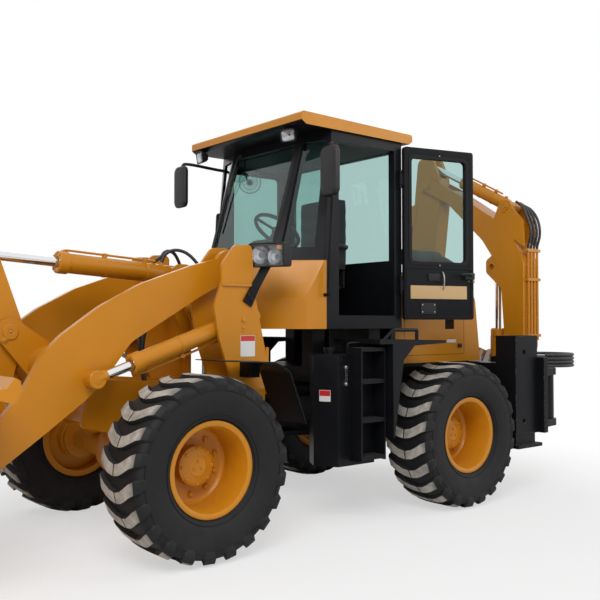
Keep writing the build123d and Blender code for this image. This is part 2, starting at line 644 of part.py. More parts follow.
# Hood: a shell with rounded top and rear
HOOD_TOP_Z = 1830.0
HOOD_OUTLINE = [
    # ahead of the rear axle, height, corner radius
    (290, HOOD_TOP_Z, 0), (290, DECK_Z + SEAT_GAP, 0), (-777, DECK_Z + SEAT_GAP, 0),
    (-713, 1614, 90), (-592, 1790, 60),
]
HOOD_EDGE_RADIUS = 70.0
HOOD_VENTS = [
    # corners, as (ahead of the rear axle, height)
    [(-314, 1597), (-430, 1556), (-430, 1526), (-314, 1567)],
    [(-314, 1456), (-430, 1456), (-430, 1363), (-314, 1363)],
]
with BuildPart() as hood:
    slab(side_plane(HOOD_HALF_WIDTH), [(rear(x), z, r) for x, z, r in HOOD_OUTLINE], 2 * HOOD_HALF_WIDTH)
    block(
        (rear(-640), -HOOD_HALF_WIDTH + HOOD_PLATE, DECK_Z - 5),
        (rear(300), HOOD_HALF_WIDTH - HOOD_PLATE, 1700),
        mode=Mode.SUBTRACT,
    )
    rounded = [
        (-HOOD_HALF_WIDTH, DECK_Z - 10, 0), (-HOOD_HALF_WIDTH, HOOD_TOP_Z, HOOD_EDGE_RADIUS),
        (HOOD_HALF_WIDTH, HOOD_TOP_Z, HOOD_EDGE_RADIUS), (HOOD_HALF_WIDTH, DECK_Z - 10, 0),
    ]
    slab(lateral_plane(rear(-800)), rounded, 1200, Mode.INTERSECT)
    # Air vents in both sides
    for outer_y in (HOOD_HALF_WIDTH + 5, -HOOD_HALF_WIDTH + HOOD_PLATE + 5):
        for vent in HOOD_VENTS:
            slab(
                side_plane(outer_y), [(rear(x), z, 0) for x, z in vent], HOOD_PLATE + 10,
                Mode.SUBTRACT,
            )
save(hood, "hood")

# Muffler, tail pipe and warning lamp on the hood
with BuildPart() as exhaust_and_lamp:
    rod_between((rear(-50), 300, 1975), (rear(-520), 300, 1975), 66)
    rod_between((rear(-490), 300, 1975), (rear(-700), 380, 1890), 34)
    for stand_x in (-120, -440):
        block((rear(stand_x - 15), 270, HOOD_TOP_Z - 30), (rear(stand_x + 15), 330, 1960))
    rod_between((rear(-505), 400, HOOD_TOP_Z - 60), (rear(-505), 400, HOOD_TOP_Z + 75), 42)
    slab(
        side_plane(HOOD_HALF_WIDTH),
        [(rear(x), z + (SEAT_GAP if z > HOOD_TOP_Z - 60 else 0), 0) for x, z, _ in HOOD_OUTLINE],
        2 * HOOD_HALF_WIDTH, Mode.SUBTRACT,
    )
save(exhaust_and_lamp, "exhaust_and_lamp")

# Cab: floor pan with the nose cowl, framed walls with windows cut, hollow inside
CAB_WALL = 50.0
CAB_LEVELS = {
    # name: (centre front, half width at the folds, side front), lengths ahead of the rear axle
    "cowl": (1540.0, 400.0, 1320.0),
    "ledge": (1430.0, 420.0, 1160.0),
    "top": (1151.0, 420.0, 1080.0),
}
FOLD_SHARE = 0.42
WINDOW_BASE_Z = 1960.0
WINDOW_TOP_Z = 2745.0
GLASS_DEPTH = 15.0
GLASS_THICKNESS = 6.0
DOOR_BASE_Z = CAB_SILL_Z - 10
DOOR_TOP_Z = CAB_TOP_Z - 30
HINGE_Y = CAB_HALF_WIDTH + DOOR_THICKNESS / 2 + FACE_GAP
HINGE_HEIGHTS = (DOOR_BASE_Z + 220, DOOR_TOP_Z - 300)
HINGE_LENGTH = 90.0
HINGE_PIN_RADIUS = 8.0
HINGE_RADIUS = 14.0


def cab_plan(level, height, inset):
    """Plan of the cab at a height, drawn in from its outside."""
    nose, nose_half, side_front = CAB_LEVELS[level]
    half = [
        (rear(nose - inset), nose_half - inset * FOLD_SHARE),
        (rear(side_front - inset * FOLD_SHARE), CAB_HALF_WIDTH - inset),
        (rear(CAB_REAR + inset), CAB_HALF_WIDTH - inset),
    ]
    with BuildSketch(Plane.XY.offset(height)) as plan:
        with BuildLine():
            Polyline(*half, *[(x, -y) for x, y in reversed(half)], close=True)
        make_face()
    return plan.sketch


def upper_cab(inset, mode=Mode.ADD):
    """The leaning upper part of the cab, solid."""
    levels = [cab_plan("ledge", CAB_LEDGE_Z, inset), cab_plan("top", CAB_TOP_Z, inset)]
    loft(levels, ruled=True, mode=mode)


def cowl_slope(inset, mode=Mode.ADD):
    """The slope from the cowl back to the foot of the windscreen, solid."""
    levels = [cab_plan("cowl", CAB_COWL_Z, inset), cab_plan("ledge", CAB_LEDGE_Z, inset)]
    loft(levels, ruled=True, mode=mode)


def cab_windows(gap, mode=Mode.ADD):
    """Blocks through the front, corner and rear windows, smaller all round by a gap."""
    low_z, high_z = WINDOW_BASE_Z + gap, WINDOW_TOP_Z - gap
    corner_inner, corner_outer = CAB_HALF_WIDTH - 235, CAB_HALF_WIDTH - 52
    rear_half = CAB_HALF_WIDTH - 90 - gap
    for inner_y, outer_y in (
        (-385, 385), (corner_inner, corner_outer), (-corner_outer, -corner_inner),
    ):
        block((rear(1045), inner_y + gap, low_z), (rear(1460), outer_y - gap, high_z), mode)
    low_z = WINDOW_BASE_Z - 60 + gap
    block((rear(CAB_REAR) - 5, -rear_half, low_z), (rear(CAB_REAR) + 60, rear_half, high_z), mode)


with BuildPart() as cab_frame:
    extrude(cab_plan("cowl", CAB_BASE_Z, 0), amount=CAB_COWL_Z - CAB_BASE_Z)
    cowl_slope(0)
    upper_cab(0)
    extrude(cab_plan("cowl", CAB_SILL_Z, CAB_WALL), amount=CAB_COWL_Z - CAB_SILL_Z, mode=Mode.SUBTRACT)
    cowl_slope(CAB_WALL, Mode.SUBTRACT)
    upper_cab(CAB_WALL, Mode.SUBTRACT)
    block(
        (rear(DOOR_HINGE + 50), -CAB_HALF_WIDTH - 5, CAB_SILL_Z + 20),
        (rear(DOOR_HINGE + DOOR_WIDTH - 30), CAB_HALF_WIDTH + 5, CAB_TOP_Z - 70),
        mode=Mode.SUBTRACT,
    )
    cab_windows(0, Mode.SUBTRACT)
    # Hinges of the doors
    for side in (1, -1):
        for hinge_z in HINGE_HEIGHTS:
            low_y, high_y = sorted((side * (CAB_HALF_WIDTH - 2), side * (HINGE_Y + HINGE_PIN_RADIUS)))
            for low_z in (hinge_z - 25, hinge_z + HINGE_LENGTH + FACE_GAP):
                block(
                    (rear(DOOR_HINGE) - HINGE_RADIUS, low_y, low_z),
                    (rear(DOOR_HINGE) + HINGE_RADIUS, high_y, low_z + 20),
                )
            disc(
                Plane.XY.offset(hinge_z - 25), (rear(DOOR_HINGE), side * HINGE_Y), HINGE_PIN_RADIUS,
                HINGE_LENGTH + 50,
            )
save(cab_frame, "cab_frame")

# Window glass of the cab
with BuildPart() as window_blocks:
    cab_windows(SEAT_GAP)
with BuildPart() as cab_glass:
    upper_cab(GLASS_DEPTH)
    upper_cab(GLASS_DEPTH + GLASS_THICKNESS, Mode.SUBTRACT)
    add(window_blocks.part, mode=Mode.INTERSECT)
save(cab_glass, "cab_glass")

# Roof with an overhang all round
ROOF_SIDE_OVERHANG = 25.0
ROOF_FRONT_OVERHANG = 231.0
ROOF_REAR_OVERHANG = 100.0
ROOF_HEIGHT = 90.0
with BuildPart() as cab_roof:
    roof_front = rear(CAB_LEVELS["top"][0] + ROOF_FRONT_OVERHANG)
    roof_rear = rear(CAB_REAR - ROOF_REAR_OVERHANG)
    half = CAB_HALF_WIDTH + ROOF_SIDE_OVERHANG
    outline = [
        (roof_front, CAB_TOP_Z + ROOF_HEIGHT, 20), (roof_front, CAB_TOP_Z + SEAT_GAP + 25, 10),
        (roof_front - 42, CAB_TOP_Z + SEAT_GAP, 0), (roof_rear + 30, CAB_TOP_Z + SEAT_GAP, 0),
        (roof_rear, CAB_TOP_Z + SEAT_GAP + 25, 10), (roof_rear, CAB_TOP_Z + ROOF_HEIGHT - 15, 20),
    ]
    slab(side_plane(half), outline, 2 * half)
save(cab_roof, "cab_roof")

# Seat and control console
with BuildPart() as operator_seat:
    block((rear(600), -130, CAB_SILL_Z + SEAT_GAP), (rear(860), 130, 1700))
    block((rear(560), -250, 1700), (rear(1000), 250, 1830))
    block((rear(500), -240, 1830), (rear(620), 240, 2420))
save(operator_seat, "operator_seat")
with BuildPart() as steering_ring:
    with BuildSketch(Plane.XZ):
        with Locations((190, 0)):
            RegularPolygon(16, 6)
    revolve(axis=Axis.Z)
with BuildPart() as control_console:
    block((rear(1110), -130, CAB_SILL_Z + SEAT_GAP), (rear(1180), 130, 2050))
    rod_between((rear(1130), 0, 2020), (rear(1034), 0, 2148), 25)
    with Locations(Location((rear(1040), 0, 2140), (0, -37, 0))):
        add(steering_ring.part)
        for turn in range(3):
            with Locations(Location((0, 0, 0), (0, 0, 60 * turn))):
                Box(370, 24, 12)
save(control_console, "control_console")

# Doors: one panel with its window cut; the left one stands open
DOOR_WINDOW = ((70, 1880), (DOOR_WIDTH - 60, DOOR_TOP_Z - 70))
with BuildPart() as door_panel:
    # Drawn closed, hinge line at the origin, panel to the front
    block((18, -DOOR_THICKNESS / 2, DOOR_BASE_Z), (DOOR_WIDTH, DOOR_THICKNESS / 2, DOOR_TOP_Z))
    (low_x, low_z), (high_x, high_z) = DOOR_WINDOW
    block((low_x, -DOOR_THICKNESS, low_z), (high_x, DOOR_THICKNESS, high_z), Mode.SUBTRACT)
    for hinge_z in HINGE_HEIGHTS:
        disc(Plane.XY.offset(hinge_z), (0, 0), HINGE_RADIUS, HINGE_LENGTH)
        block((0, -8, hinge_z), (22, 8, hinge_z + HINGE_LENGTH))
        disc(Plane.XY.offset(hinge_z), (0, 0), HINGE_PIN_RADIUS + PIN_FIT, HINGE_LENGTH, Mode.SUBTRACT)
with BuildPart() as door_pane:
    block(
        (low_x + SEAT_GAP, -GLASS_THICKNESS / 2, low_z + SEAT_GAP),
        (high_x - SEAT_GAP, GLASS_THICKNESS / 2, high_z - SEAT_GAP),
    )
LEFT_HINGE = Location((rear(DOOR_HINGE), HINGE_Y, 0), (0, 0, DOOR_LEFT_OPEN))
RIGHT_HINGE = Location((rear(DOOR_HINGE), -HINGE_Y, 0))
for name, drawn in (("door", door_panel), ("door_glass", door_pane)):
    with BuildPart() as left_piece:
        with Locations(LEFT_HINGE):
            add(drawn.part)
    save(left_piece, f"{name}_left")
    with BuildPart() as right_piece:
        with Locations(RIGHT_HINGE):
            add(mirror(drawn.part, about=Plane.XZ, mode=Mode.PRIVATE))
    save(right_piece, f"{name}_right")

# Mirrors on tube arms and grab rails on the cab
MIRRORS = [
    # ahead of the rear axle, across, height of the mirror's middle
    (1260.0, CAB_HALF_WIDTH + 180.0, 2470.0),
    (1400.0, -CAB_HALF_WIDTH - 170.0, 2560.0),
]
RAIL_RADIUS = 13.0
with BuildPart() as mirrors_and_rails:
    for ahead, across, height in MIRRORS:
        side = 1 if across > 0 else -1
        block(
            (rear(ahead) - 20, across - 90, height - 175), (rear(ahead) + 20, across + 90, height + 175)
        )
        cab_side = side * (CAB_HALF_WIDTH - 45)
        start = (rear(1060), cab_side, 2700)
        rod_between(start, (rear(ahead) - 10, across, height + 150), RAIL_RADIUS)
        rail_y = side * (CAB_HALF_WIDTH + 45)
        rod_between((rear(1150), rail_y, 1600), (rear(1110), rail_y, 2350), RAIL_RADIUS)
        for rail_x, rail_z in ((1149, 1615), (1111, 2335)):
            rod_between((rear(rail_x), cab_side, rail_z), (rear(rail_x), rail_y, rail_z), RAIL_RADIUS)
    extrude(
        cab_plan("cowl", CAB_BASE_Z, -SEAT_GAP), amount=CAB_COWL_Z - CAB_BASE_Z, mode=Mode.SUBTRACT
    )
    cowl_slope(-SEAT_GAP, Mode.SUBTRACT)
    upper_cab(-SEAT_GAP, Mode.SUBTRACT)
save(mirrors_and_rails, "mirrors_and_rails")

# Side boxes with steps: a chamfered tank on each side, a ladder outside it
TANK_TOP_Z = 1190.0
with BuildPart() as step_tanks:
    for side in (1, -1):
        with BuildSketch(Plane.XY.offset(413)) as plan:
            with BuildLine():
                Polyline(
                    (rear(1262), side * 700), (rear(1180), side * 867), (rear(830), side * 867),
                    (rear(830), side * (REAR_RAIL_Y + RAIL_PLATE + SEAT_GAP)),
                    (rear(870), side * (REAR_RAIL_Y + RAIL_PLATE + SEAT_GAP)), (rear(1180), side * 560),
                    close=True,
                )
            make_face()
        extrude(plan.sketch, amount=TANK_TOP_Z - 413)
        block(
            (rear(990), min(side * 380, side * 540), DECK_Z - 80),
            (rear(1150), max(side * 380, side * 540), TANK_TOP_Z + 1),
            mode=Mode.SUBTRACT,
        )
        for step_z in (460, 720, 990):
            low_y, high_y = sorted((side * 860, side * 990))
            block((rear(835), low_y, step_z), (rear(1075), high_y, step_z + 25))
        for stile_x in (835, 1063):
            block((rear(stile_x), low_y, 450), (rear(stile_x + 12), high_y, 1240))
        block((rear(835), low_y, 1215), (rear(1075), high_y, 1240))
    # Filler neck with its cap
    rod_between((rear(1120), 715, TANK_TOP_Z - 10), (rear(1120), 715, TANK_TOP_Z + 35), 36)
    rod_between((rear(1120), 715, TANK_TOP_Z + 22), (rear(1120), 715, TANK_TOP_Z + 50), 46)
save(step_tanks, "step_tanks")

# Rear mudguards over the front of each rear wheel, with a handrail
GUARD_EDGE_Y = 1040.0
with BuildPart() as rear_mudguards:
    for side in (1, -1):
        inner_y = HOOD_HALF_WIDTH + SEAT_GAP
        left = GUARD_EDGE_Y if side > 0 else -inner_y
        outline = [
            (rear(940), 1300, 0), (rear(240), 1285, 0), (rear(240), 1265, 0), (rear(585), 1250, 0),
            (rear(700), 1147, 0), (rear(796), 600, 0), (rear(806), 600, 0), (rear(812), 1150, 0),
            (rear(812), 1265, 0), (rear(940), 1265, 0),
        ]
        slab(side_plane(left), outline, GUARD_EDGE_Y - inner_y)
        low_y, high_y = sorted((side * (inner_y + 60), side * 860.0))
        block((rear(840), low_y, TANK_TOP_Z + SEAT_GAP), (rear(930), high_y, 1270))
        rail_y = side * 1000.0
        for start, end in (
            ((790, 1280), (770, 1364)), ((770, 1364), (520, 1364)), ((520, 1364), (520, 1280)),
            ((770, 1364), (893, 1270)),
        ):
            rod_between(
                (rear(start[0]), rail_y, start[1]), (rear(end[0]), rail_y, end[1]), RAIL_RADIUS
            )
save(rear_mudguards, "rear_mudguards")

# Slide frame of the digger: two rails and the housings of the stabiliser legs
LEG_HOUSING = (-900.0, -600.0)
LEG_HALF_WIDTH = 100.0
LEG_WALL = 14.0
LEG_BASE_Z = 500.0
LEG_TOP_Z = 1310.0
with BuildPart() as slide_frame:
    for side in (1, -1):
        low_y, high_y = sorted((side * (LEG_Y - LEG_HALF_WIDTH), side * (LEG_Y + LEG_HALF_WIDTH)))
        block((rear(LEG_HOUSING[0]), low_y, LEG_BASE_Z), (rear(LEG_HOUSING[1]), high_y, LEG_TOP_Z))
        block(
            (rear(LEG_HOUSING[0] + LEG_WALL), low_y + LEG_WALL, LEG_BASE_Z - 5),
            (rear(LEG_HOUSING[1] - LEG_WALL), high_y - LEG_WALL, LEG_TOP_Z - LEG_WALL),
            mode=Mode.SUBTRACT,
        )
    # Lightening holes in the outer wall of each housing
    for outer_y in (LEG_Y + LEG_HALF_WIDTH + 1, -LEG_Y - LEG_HALF_WIDTH + LEG_WALL + 1):
        for hole in ((rear(-713), 1175), (rear(-706), 609)):
            disc(side_plane(outer_y), hole, 20, LEG_WALL + 2, Mode.SUBTRACT)
    inner = LEG_Y - LEG_HALF_WIDTH
    for low_z, high_z in ((560, 680), (960, 1080)):
        block((rear(-830), -inner, low_z), (rear(-690), inner, high_z))
    block((rear(-690), -inner, 560), (rear(-620) - SEAT_GAP, inner, 1080))
save(slide_frame, "slide_frame")

# Stabiliser legs: a box that slides down inside the housing, with its foot
with BuildPart() as leg:
    gap = LEG_WALL + FACE_GAP
    leg_half = LEG_HALF_WIDTH - LEG_WALL - SEAT_GAP
    block(
        (LEG_HOUSING[0] + gap, -leg_half, 420),
        (LEG_HOUSING[1] - gap, leg_half, LEG_TOP_Z - LEG_WALL - 30),
    )
    block((LEG_HOUSING[0] - 20, -LEG_HALF_WIDTH - 30, 390), (LEG_HOUSING[1] + 10, LEG_HALF_WIDTH + 30, 420))
for name, side in (("stabiliser_left", 1), ("stabiliser_right", -1)):
    with BuildPart() as placed_leg:
        with Locations((REAR_AXLE_X, side * LEG_Y, 0)):
            add(leg.part)
    save(placed_leg, name)

# Carriage that slides across, with the bearings of the slewing post
SLEW_PIN_RADIUS = 45.0
CARRIAGE_HALF_WIDTH = 250.0
LOWER_BEARING_Z = 520.0
UPPER_BEARING_Z = 960.0
BEARING = 60.0
with BuildPart() as carriage:
    low_y, high_y = SLEW_Y - CARRIAGE_HALF_WIDTH, SLEW_Y + CARRIAGE_HALF_WIDTH
    block((rear(-960), low_y, 500), (rear(-900) - FACE_GAP, high_y, 1130))
    hook_low_y, hook_high_y = 660.0, LEG_Y - LEG_HALF_WIDTH - 2 * FACE_GAP
    for low_z, high_z in ((500, 560 - SEAT_GAP), (1080 + SEAT_GAP, 1130)):
        block((rear(-960), hook_low_y, low_z), (rear(-790), hook_high_y, high_z))
    for bearing_z in (LOWER_BEARING_Z, UPPER_BEARING_Z):
        with BuildSketch(Plane.XY.offset(bearing_z)) as bearing:
            with Locations((BOOM_X, SLEW_Y)):
                Circle(110)
            with BuildLine():
                Polyline(
                    (BOOM_X, SLEW_Y - 110), (rear(-960), SLEW_Y - 160), (rear(-960), SLEW_Y + 160),
                    (BOOM_X, SLEW_Y + 110), close=True,
                )
            make_face()
            with Locations((BOOM_X, SLEW_Y)):
                Circle(SLEW_PIN_RADIUS + PIN_FIT, mode=Mode.SUBTRACT)
        extrude(bearing.sketch, amount=BEARING)
save(carriage, "carriage")

# Slewing post, turned so that the boom reaches to the machine's right
POST_CHEEK = 30.0
POST_HALF_WIDTH = BOOM_HALF_WIDTH + FACE_GAP + POST_CHEEK
with BuildPart() as kingpost:
    post_base = LOWER_BEARING_Z + BEARING + FACE_GAP
    post_top = UPPER_BEARING_Z - FACE_GAP
    pin_length = UPPER_BEARING_Z + BEARING - LOWER_BEARING_Z
    disc(Plane.XY.offset(LOWER_BEARING_Z), (BOOM_X, SLEW_Y), SLEW_PIN_RADIUS, pin_length)
    disc(Plane.XY.offset(post_base), (BOOM_X, SLEW_Y), 90, post_top - post_base)
    for rear_face in (
        BOOM_X - BOOM_HALF_WIDTH - FACE_GAP - POST_CHEEK,
        BOOM_X + BOOM_HALF_WIDTH + FACE_GAP,
    ):
        outline = [
            (SLEW_Y - 60, post_base, 0), (SLEW_Y - 60, post_top, 0), (BOOM_FOOT[0] - 70, post_top, 60),
            (BOOM_CYL_BASE[0] - 60, 700, 50), (BOOM_CYL_BASE[0] - 60, 560, 50),
            (BOOM_CYL_BASE[0] + 80, 560, 50), (SLEW_Y - 190, post_base, 0),
        ]
        slab(lateral_plane(rear_face), outline, POST_CHEEK)
    block(
        (BOOM_X - POST_HALF_WIDTH, SLEW_Y - 86, post_base),
        (BOOM_X + POST_HALF_WIDTH, SLEW_Y - 60, post_top),
    )
    for point, radius in ((BOOM_FOOT, 38), (BOOM_CYL_BASE, CYLINDERS["boom"][3])):
        disc(lateral_plane(BOOM_X - POST_HALF_WIDTH), point, radius, 2 * POST_HALF_WIDTH)
    # Bracket that holds the hoses
    block(
        (BOOM_X - POST_HALF_WIDTH, SLEW_Y - 210, post_top - 75),
        (BOOM_X - POST_HALF_WIDTH + 26, SLEW_Y - 170, 1160),
    )
save(kingpost, "kingpost")

# Hoses that turn with the post, looped behind it
HOSE_PITCH = 31.0
HOSE_LOOP = [
    # ahead of the slewing axis, to its left
    (-POST_HALF_WIDTH - SEAT_GAP, -190), (-185, -190), (-222, -160), (-248, -105), (-261, -40),
    (-261, 40), (-246, 105), (-205, 165), (-145, 205), (-70, 225), (20, 222), (95, 185), (150, 125),
]
with BuildPart() as slew_hoses:
    for i in range(4):
        hose_z = 1045 + HOSE_PITCH * i
        hose([(BOOM_X + x, SLEW_Y + y, hose_z) for x, y in HOSE_LOOP], 14, (0, 0, 1))
save(slew_hoses, "slew_hoses")

# Boom: a bent box with a forked tip
BOOM_OUTLINE = [
    # across to the left, height, corner radius
    (670, 880, 60), (680, 1040, 100), (745, 1200, 100), (749, 1956, 200), (600, 2270, 250),
    (301, 2457, 300), (-127, 2733, 0), (-400, 2880, 60), (-470, 2760, 60), (-340, 2690, 0),
    (-125, 2580, 0),
    (299, 2186, 300), (500, 1900, 250), (540, 1330, 0), (510, 900, 60), (560, 800, 80),
]
with BuildPart() as boom:
    slab(lateral_plane(BOOM_X - BOOM_HALF_WIDTH), BOOM_OUTLINE, 2 * BOOM_HALF_WIDTH)
    slot = STICK_HALF_WIDTH + FACE_GAP
    disc(lateral_plane(BOOM_X - slot), BOOM_TIP, 310, 2 * slot, Mode.SUBTRACT)
    disc(lateral_plane(BOOM_X - BOOM_HALF_WIDTH), BOOM_TIP, 36, 2 * BOOM_HALF_WIDTH)
    disc(
        lateral_plane(BOOM_X - BOOM_HALF_WIDTH), BOOM_FOOT, 38 + PIN_FIT, 2 * BOOM_HALF_WIDTH,
        Mode.SUBTRACT,
    )
    # Lugs of the stick cylinder on the back and of the boom cylinder in front
    for rear_face in (BOOM_X - 106, BOOM_X + 76):
        outline = [
            (749, 2100, 0), (740, 2330, 60), (640, 2440, 60), (600, 2530, 50), (500, 2530, 50),
            (430, 2370, 0), (600, 2200, 0),
        ]
        slab(lateral_plane(rear_face), outline, 30)
        outline = [(340, 1990, 40), (340, 1880, 40), (540, 1700, 0), (560, 1900, 0), (440, 2060, 0)]
        slab(lateral_plane(rear_face), outline, 30)
        disc(lateral_plane(rear_face), BOOM_CYL_EYE, CYLINDERS["boom"][3], 30, Mode.SUBTRACT)
    disc(lateral_plane(BOOM_X - 106), STICK_CYL_BASE, CYLINDERS["stick"][3], 212)
    # Pipes down the back of the boom with their clamps
    for i in range(4):
        pipe_x = BOOM_X - 80 + 45 * i
        rod_between((pipe_x, 765, 2080), (pipe_x, 765, 1260), 11)
    for clamp_z in (2050, 1790, 1290):
        block((BOOM_X - 110, 735, clamp_z), (BOOM_X + 80, 780, clamp_z + 25))
save(boom, "boom")

# Hoses from the pipes over the boom's elbow to the stick cylinder
with BuildPart() as boom_hoses:
    for i in range(4):
        pipe_x = BOOM_X - 80 + 45 * i
        bend = [
            (765, 2080 + SEAT_GAP), (765, 2100), (778, 2140), (792, 2180), (798, 2235),
            (790 - 4 * i, 2300), (764 - 4 * i, 2370), (724, 2425 + 5 * i), (682, 2462 + 8 * i),
            (640, 2482 + 10 * i),
        ]
        hose([(pipe_x, y, z) for y, z in bend], 12, (1, 0, 0))
save(boom_hoses, "boom_hoses")

# Stick: a tapered box from its tail to the bucket pin
with BuildPart() as stick:
    outline = [
        # across to the left, height, corner radius
        (-340, 3060, 60), (-520, 3060, 60), (-560, 2700, 100), (-610, 2150, 200), (-550, 1300, 60),
        (-410, 1270, 60), (-390, 1400, 0), (-300, 2150, 300), (-240, 2640, 200), (-250, 2850, 100),
    ]
    slab(lateral_plane(BOOM_X - STICK_HALF_WIDTH), outline, 2 * STICK_HALF_WIDTH)
    for point, radius in ((BOOM_TIP, 36), (STICK_FOOT, 34), (ROCKER_PIVOT, 30)):
        disc(
            lateral_plane(BOOM_X - STICK_HALF_WIDTH), point, radius + PIN_FIT, 2 * STICK_HALF_WIDTH,
            Mode.SUBTRACT,
        )
    # Fork for the stick cylinder and lugs for the bucket cylinder
    block((BOOM_X - 40, -620, 2850), (BOOM_X + 40, -200, 3080), Mode.SUBTRACT)
    for rear_face in (BOOM_X - 85, BOOM_X + 55):
        outline = [
            (-540, 2620, 0), (-700, 2570, 50), (-750, 2480, 40), (-690, 2430, 40), (-570, 2380, 0),
        ]
        slab(lateral_plane(rear_face), outline, 30)
    disc(lateral_plane(BOOM_X - 85), HOE_CYL_BASE, CYLINDERS["hoe_bucket"][3], 170)
save(stick, "stick")

# Cylinders of the digger
PIN_X = (1, 0, 0)
HOE_CYLINDERS = [
    ("boom", BOOM_CYL_BASE, BOOM_CYL_EYE),
    ("stick", STICK_CYL_BASE, STICK_TAIL),
    ("hoe_bucket", HOE_CYL_BASE, ROCKER_END),
]
for kind, base, eye in HOE_CYLINDERS:
    ends = ((BOOM_X, *base), (BOOM_X, *eye))
    with BuildPart() as barrel:
        cylinder_barrel(kind, *ends, PIN_X)
    save(barrel, f"{kind}_barrel")
    with BuildPart() as rod:
        cylinder_rod(kind, *ends, PIN_X)
    save(rod, f"{kind}_rod")

# Rocker plates and link that turn the digging bucket
ROCKER_PLATE = 22.0
with BuildPart() as rocker:
    half = STICK_HALF_WIDTH + FACE_GAP
    for rear_face in (BOOM_X - half - ROCKER_PLATE, BOOM_X + half):
        eye_bar(lateral_plane(rear_face), [(*ROCKER_PIVOT, 52), (*ROCKER_END, 48)], ROCKER_PLATE)
    disc(lateral_plane(BOOM_X - half - ROCKER_PLATE), ROCKER_PIVOT, 30, 2 * (half + ROCKER_PLATE))
    for rear_face in (BOOM_X - half - ROCKER_PLATE, BOOM_X + 45):
        disc(lateral_plane(rear_face), ROCKER_END, 24, half + ROCKER_PLATE - 45)
save(rocker, "rocker")
with BuildPart() as hoe_link:
    for rear_face in (BOOM_X - 75, BOOM_X + 50):
        eye_bar(lateral_plane(rear_face), [(*ROCKER_END, 46), (*HOE_LINK_FOOT, 46)], 25)
        disc(lateral_plane(rear_face), ROCKER_END, 24 + PIN_FIT, 25, Mode.SUBTRACT)
    disc(lateral_plane(BOOM_X - 50), HOE_LINK_FOOT, 40, 100)
save(hoe_link, "hoe_link")

# Digging bucket, curled under the stick, with teeth
HOE_WALL = 12.0
HOE_OUTLINE = [
    # to the left of the bucket pin, above it, corner radius
    (150, -60, 20), (105, -330, 120), (250, -600, 200), (520, -560, 180), (625, -250, 0), (575, -200, 0),
]
with BuildPart() as hoe_bucket:
    half = HOE_BUCKET_WIDTH / 2
    outside = [(STICK_FOOT[0] + y, STICK_FOOT[1] + z, r) for y, z, r in HOE_OUTLINE]
    slab(lateral_plane(BOOM_X - half), outside, HOE_BUCKET_WIDTH)
    inside = [
        (STICK_FOOT[0] + y, STICK_FOOT[1] + z, r) for y, z, r in [
            (165, -20, 0), (121, -325, 110), (257, -585, 190), (513, -545, 168), (615, -240, 0),
            (655, -20, 0),
        ]
    ]
    slab(lateral_plane(BOOM_X - half + HOE_WALL), inside, HOE_BUCKET_WIDTH - 2 * HOE_WALL, Mode.SUBTRACT)
    # Ears on both sides of the stick
    ear = STICK_HALF_WIDTH + FACE_GAP
    for rear_face in (BOOM_X - ear - 25, BOOM_X + ear):
        outline = [
            (STICK_FOOT[0] - 60, STICK_FOOT[1] + 20, 40), (STICK_FOOT[0] + 20, STICK_FOOT[1] + 65, 40),
            (STICK_FOOT[0] + 160, STICK_FOOT[1] - 70, 0), (STICK_FOOT[0] + 120, STICK_FOOT[1] - 330, 0),
            (HOE_LINK_FOOT[0] - 50, HOE_LINK_FOOT[1] - 70, 40),
        ]
        slab(lateral_plane(rear_face), outline, 25)
        disc(lateral_plane(rear_face), HOE_LINK_FOOT, 26, 25, Mode.SUBTRACT)
    disc(lateral_plane(BOOM_X - ear - 25), STICK_FOOT, 34, 2 * ear + 50)
    # Teeth on the lip
    for i in range(5):
        tooth_x = BOOM_X - half + 10 + i * (HOE_BUCKET_WIDTH - 80) / 4
        outline = [
            (STICK_FOOT[0] + 585, STICK_FOOT[1] - 300, 0), (STICK_FOOT[0] + 620, STICK_FOOT[1] - 290, 0),
            (STICK_FOOT[0] + 685, STICK_FOOT[1] - 165, 0), (STICK_FOOT[0] + 640, STICK_FOOT[1] - 205, 0),
        ]
        slab(lateral_plane(tooth_x), outline, 60)
save(hoe_bucket, "hoe_bucket")
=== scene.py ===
from math import cos, pi, prod, radians, sin, tau

import bmesh
import bpy
from mathutils import Matrix, Vector


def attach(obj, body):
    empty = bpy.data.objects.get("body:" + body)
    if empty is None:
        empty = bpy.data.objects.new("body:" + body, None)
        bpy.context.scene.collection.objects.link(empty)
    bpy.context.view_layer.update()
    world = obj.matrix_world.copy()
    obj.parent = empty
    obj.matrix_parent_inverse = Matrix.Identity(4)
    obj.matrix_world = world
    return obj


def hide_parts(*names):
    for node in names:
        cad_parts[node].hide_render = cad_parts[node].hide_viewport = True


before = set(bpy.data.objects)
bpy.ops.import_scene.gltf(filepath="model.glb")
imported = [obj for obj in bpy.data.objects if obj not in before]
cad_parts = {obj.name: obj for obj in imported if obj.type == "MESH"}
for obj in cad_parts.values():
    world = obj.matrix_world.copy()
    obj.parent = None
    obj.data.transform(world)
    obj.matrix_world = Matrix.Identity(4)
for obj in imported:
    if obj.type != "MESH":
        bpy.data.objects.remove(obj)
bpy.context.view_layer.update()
scene = bpy.context.scene

# Pale studio: a floor that fades into a white surround, one soft key lamp from the front left,
# a fill from the right and an even sky. The camera stands where the photograph was taken.
scene.view_settings.view_transform = "Standard"
FLOOR_SIZE = 60.0
SKY_LEVEL = 0.40
KEY_POWER = 560.0
FILL_POWER = 120.0
CAMERA_PLACE = (3.374, 5.122, 1.416)
CAMERA_TURN = (91.577, 0.0, 140.34)
CAMERA_LENS = 49.5


def mesh_object(name, mesh):
    made = bpy.data.objects.new(name, mesh)
    scene.collection.objects.link(made)
    return made


def new_material(name):
    """A material with its shader; returns the material, its nodes, its links and the shader."""
    made = bpy.data.materials.new(name)
    made.use_nodes = True
    nodes = made.node_tree.nodes
    return made, nodes, made.node_tree.links, nodes["Principled BSDF"]


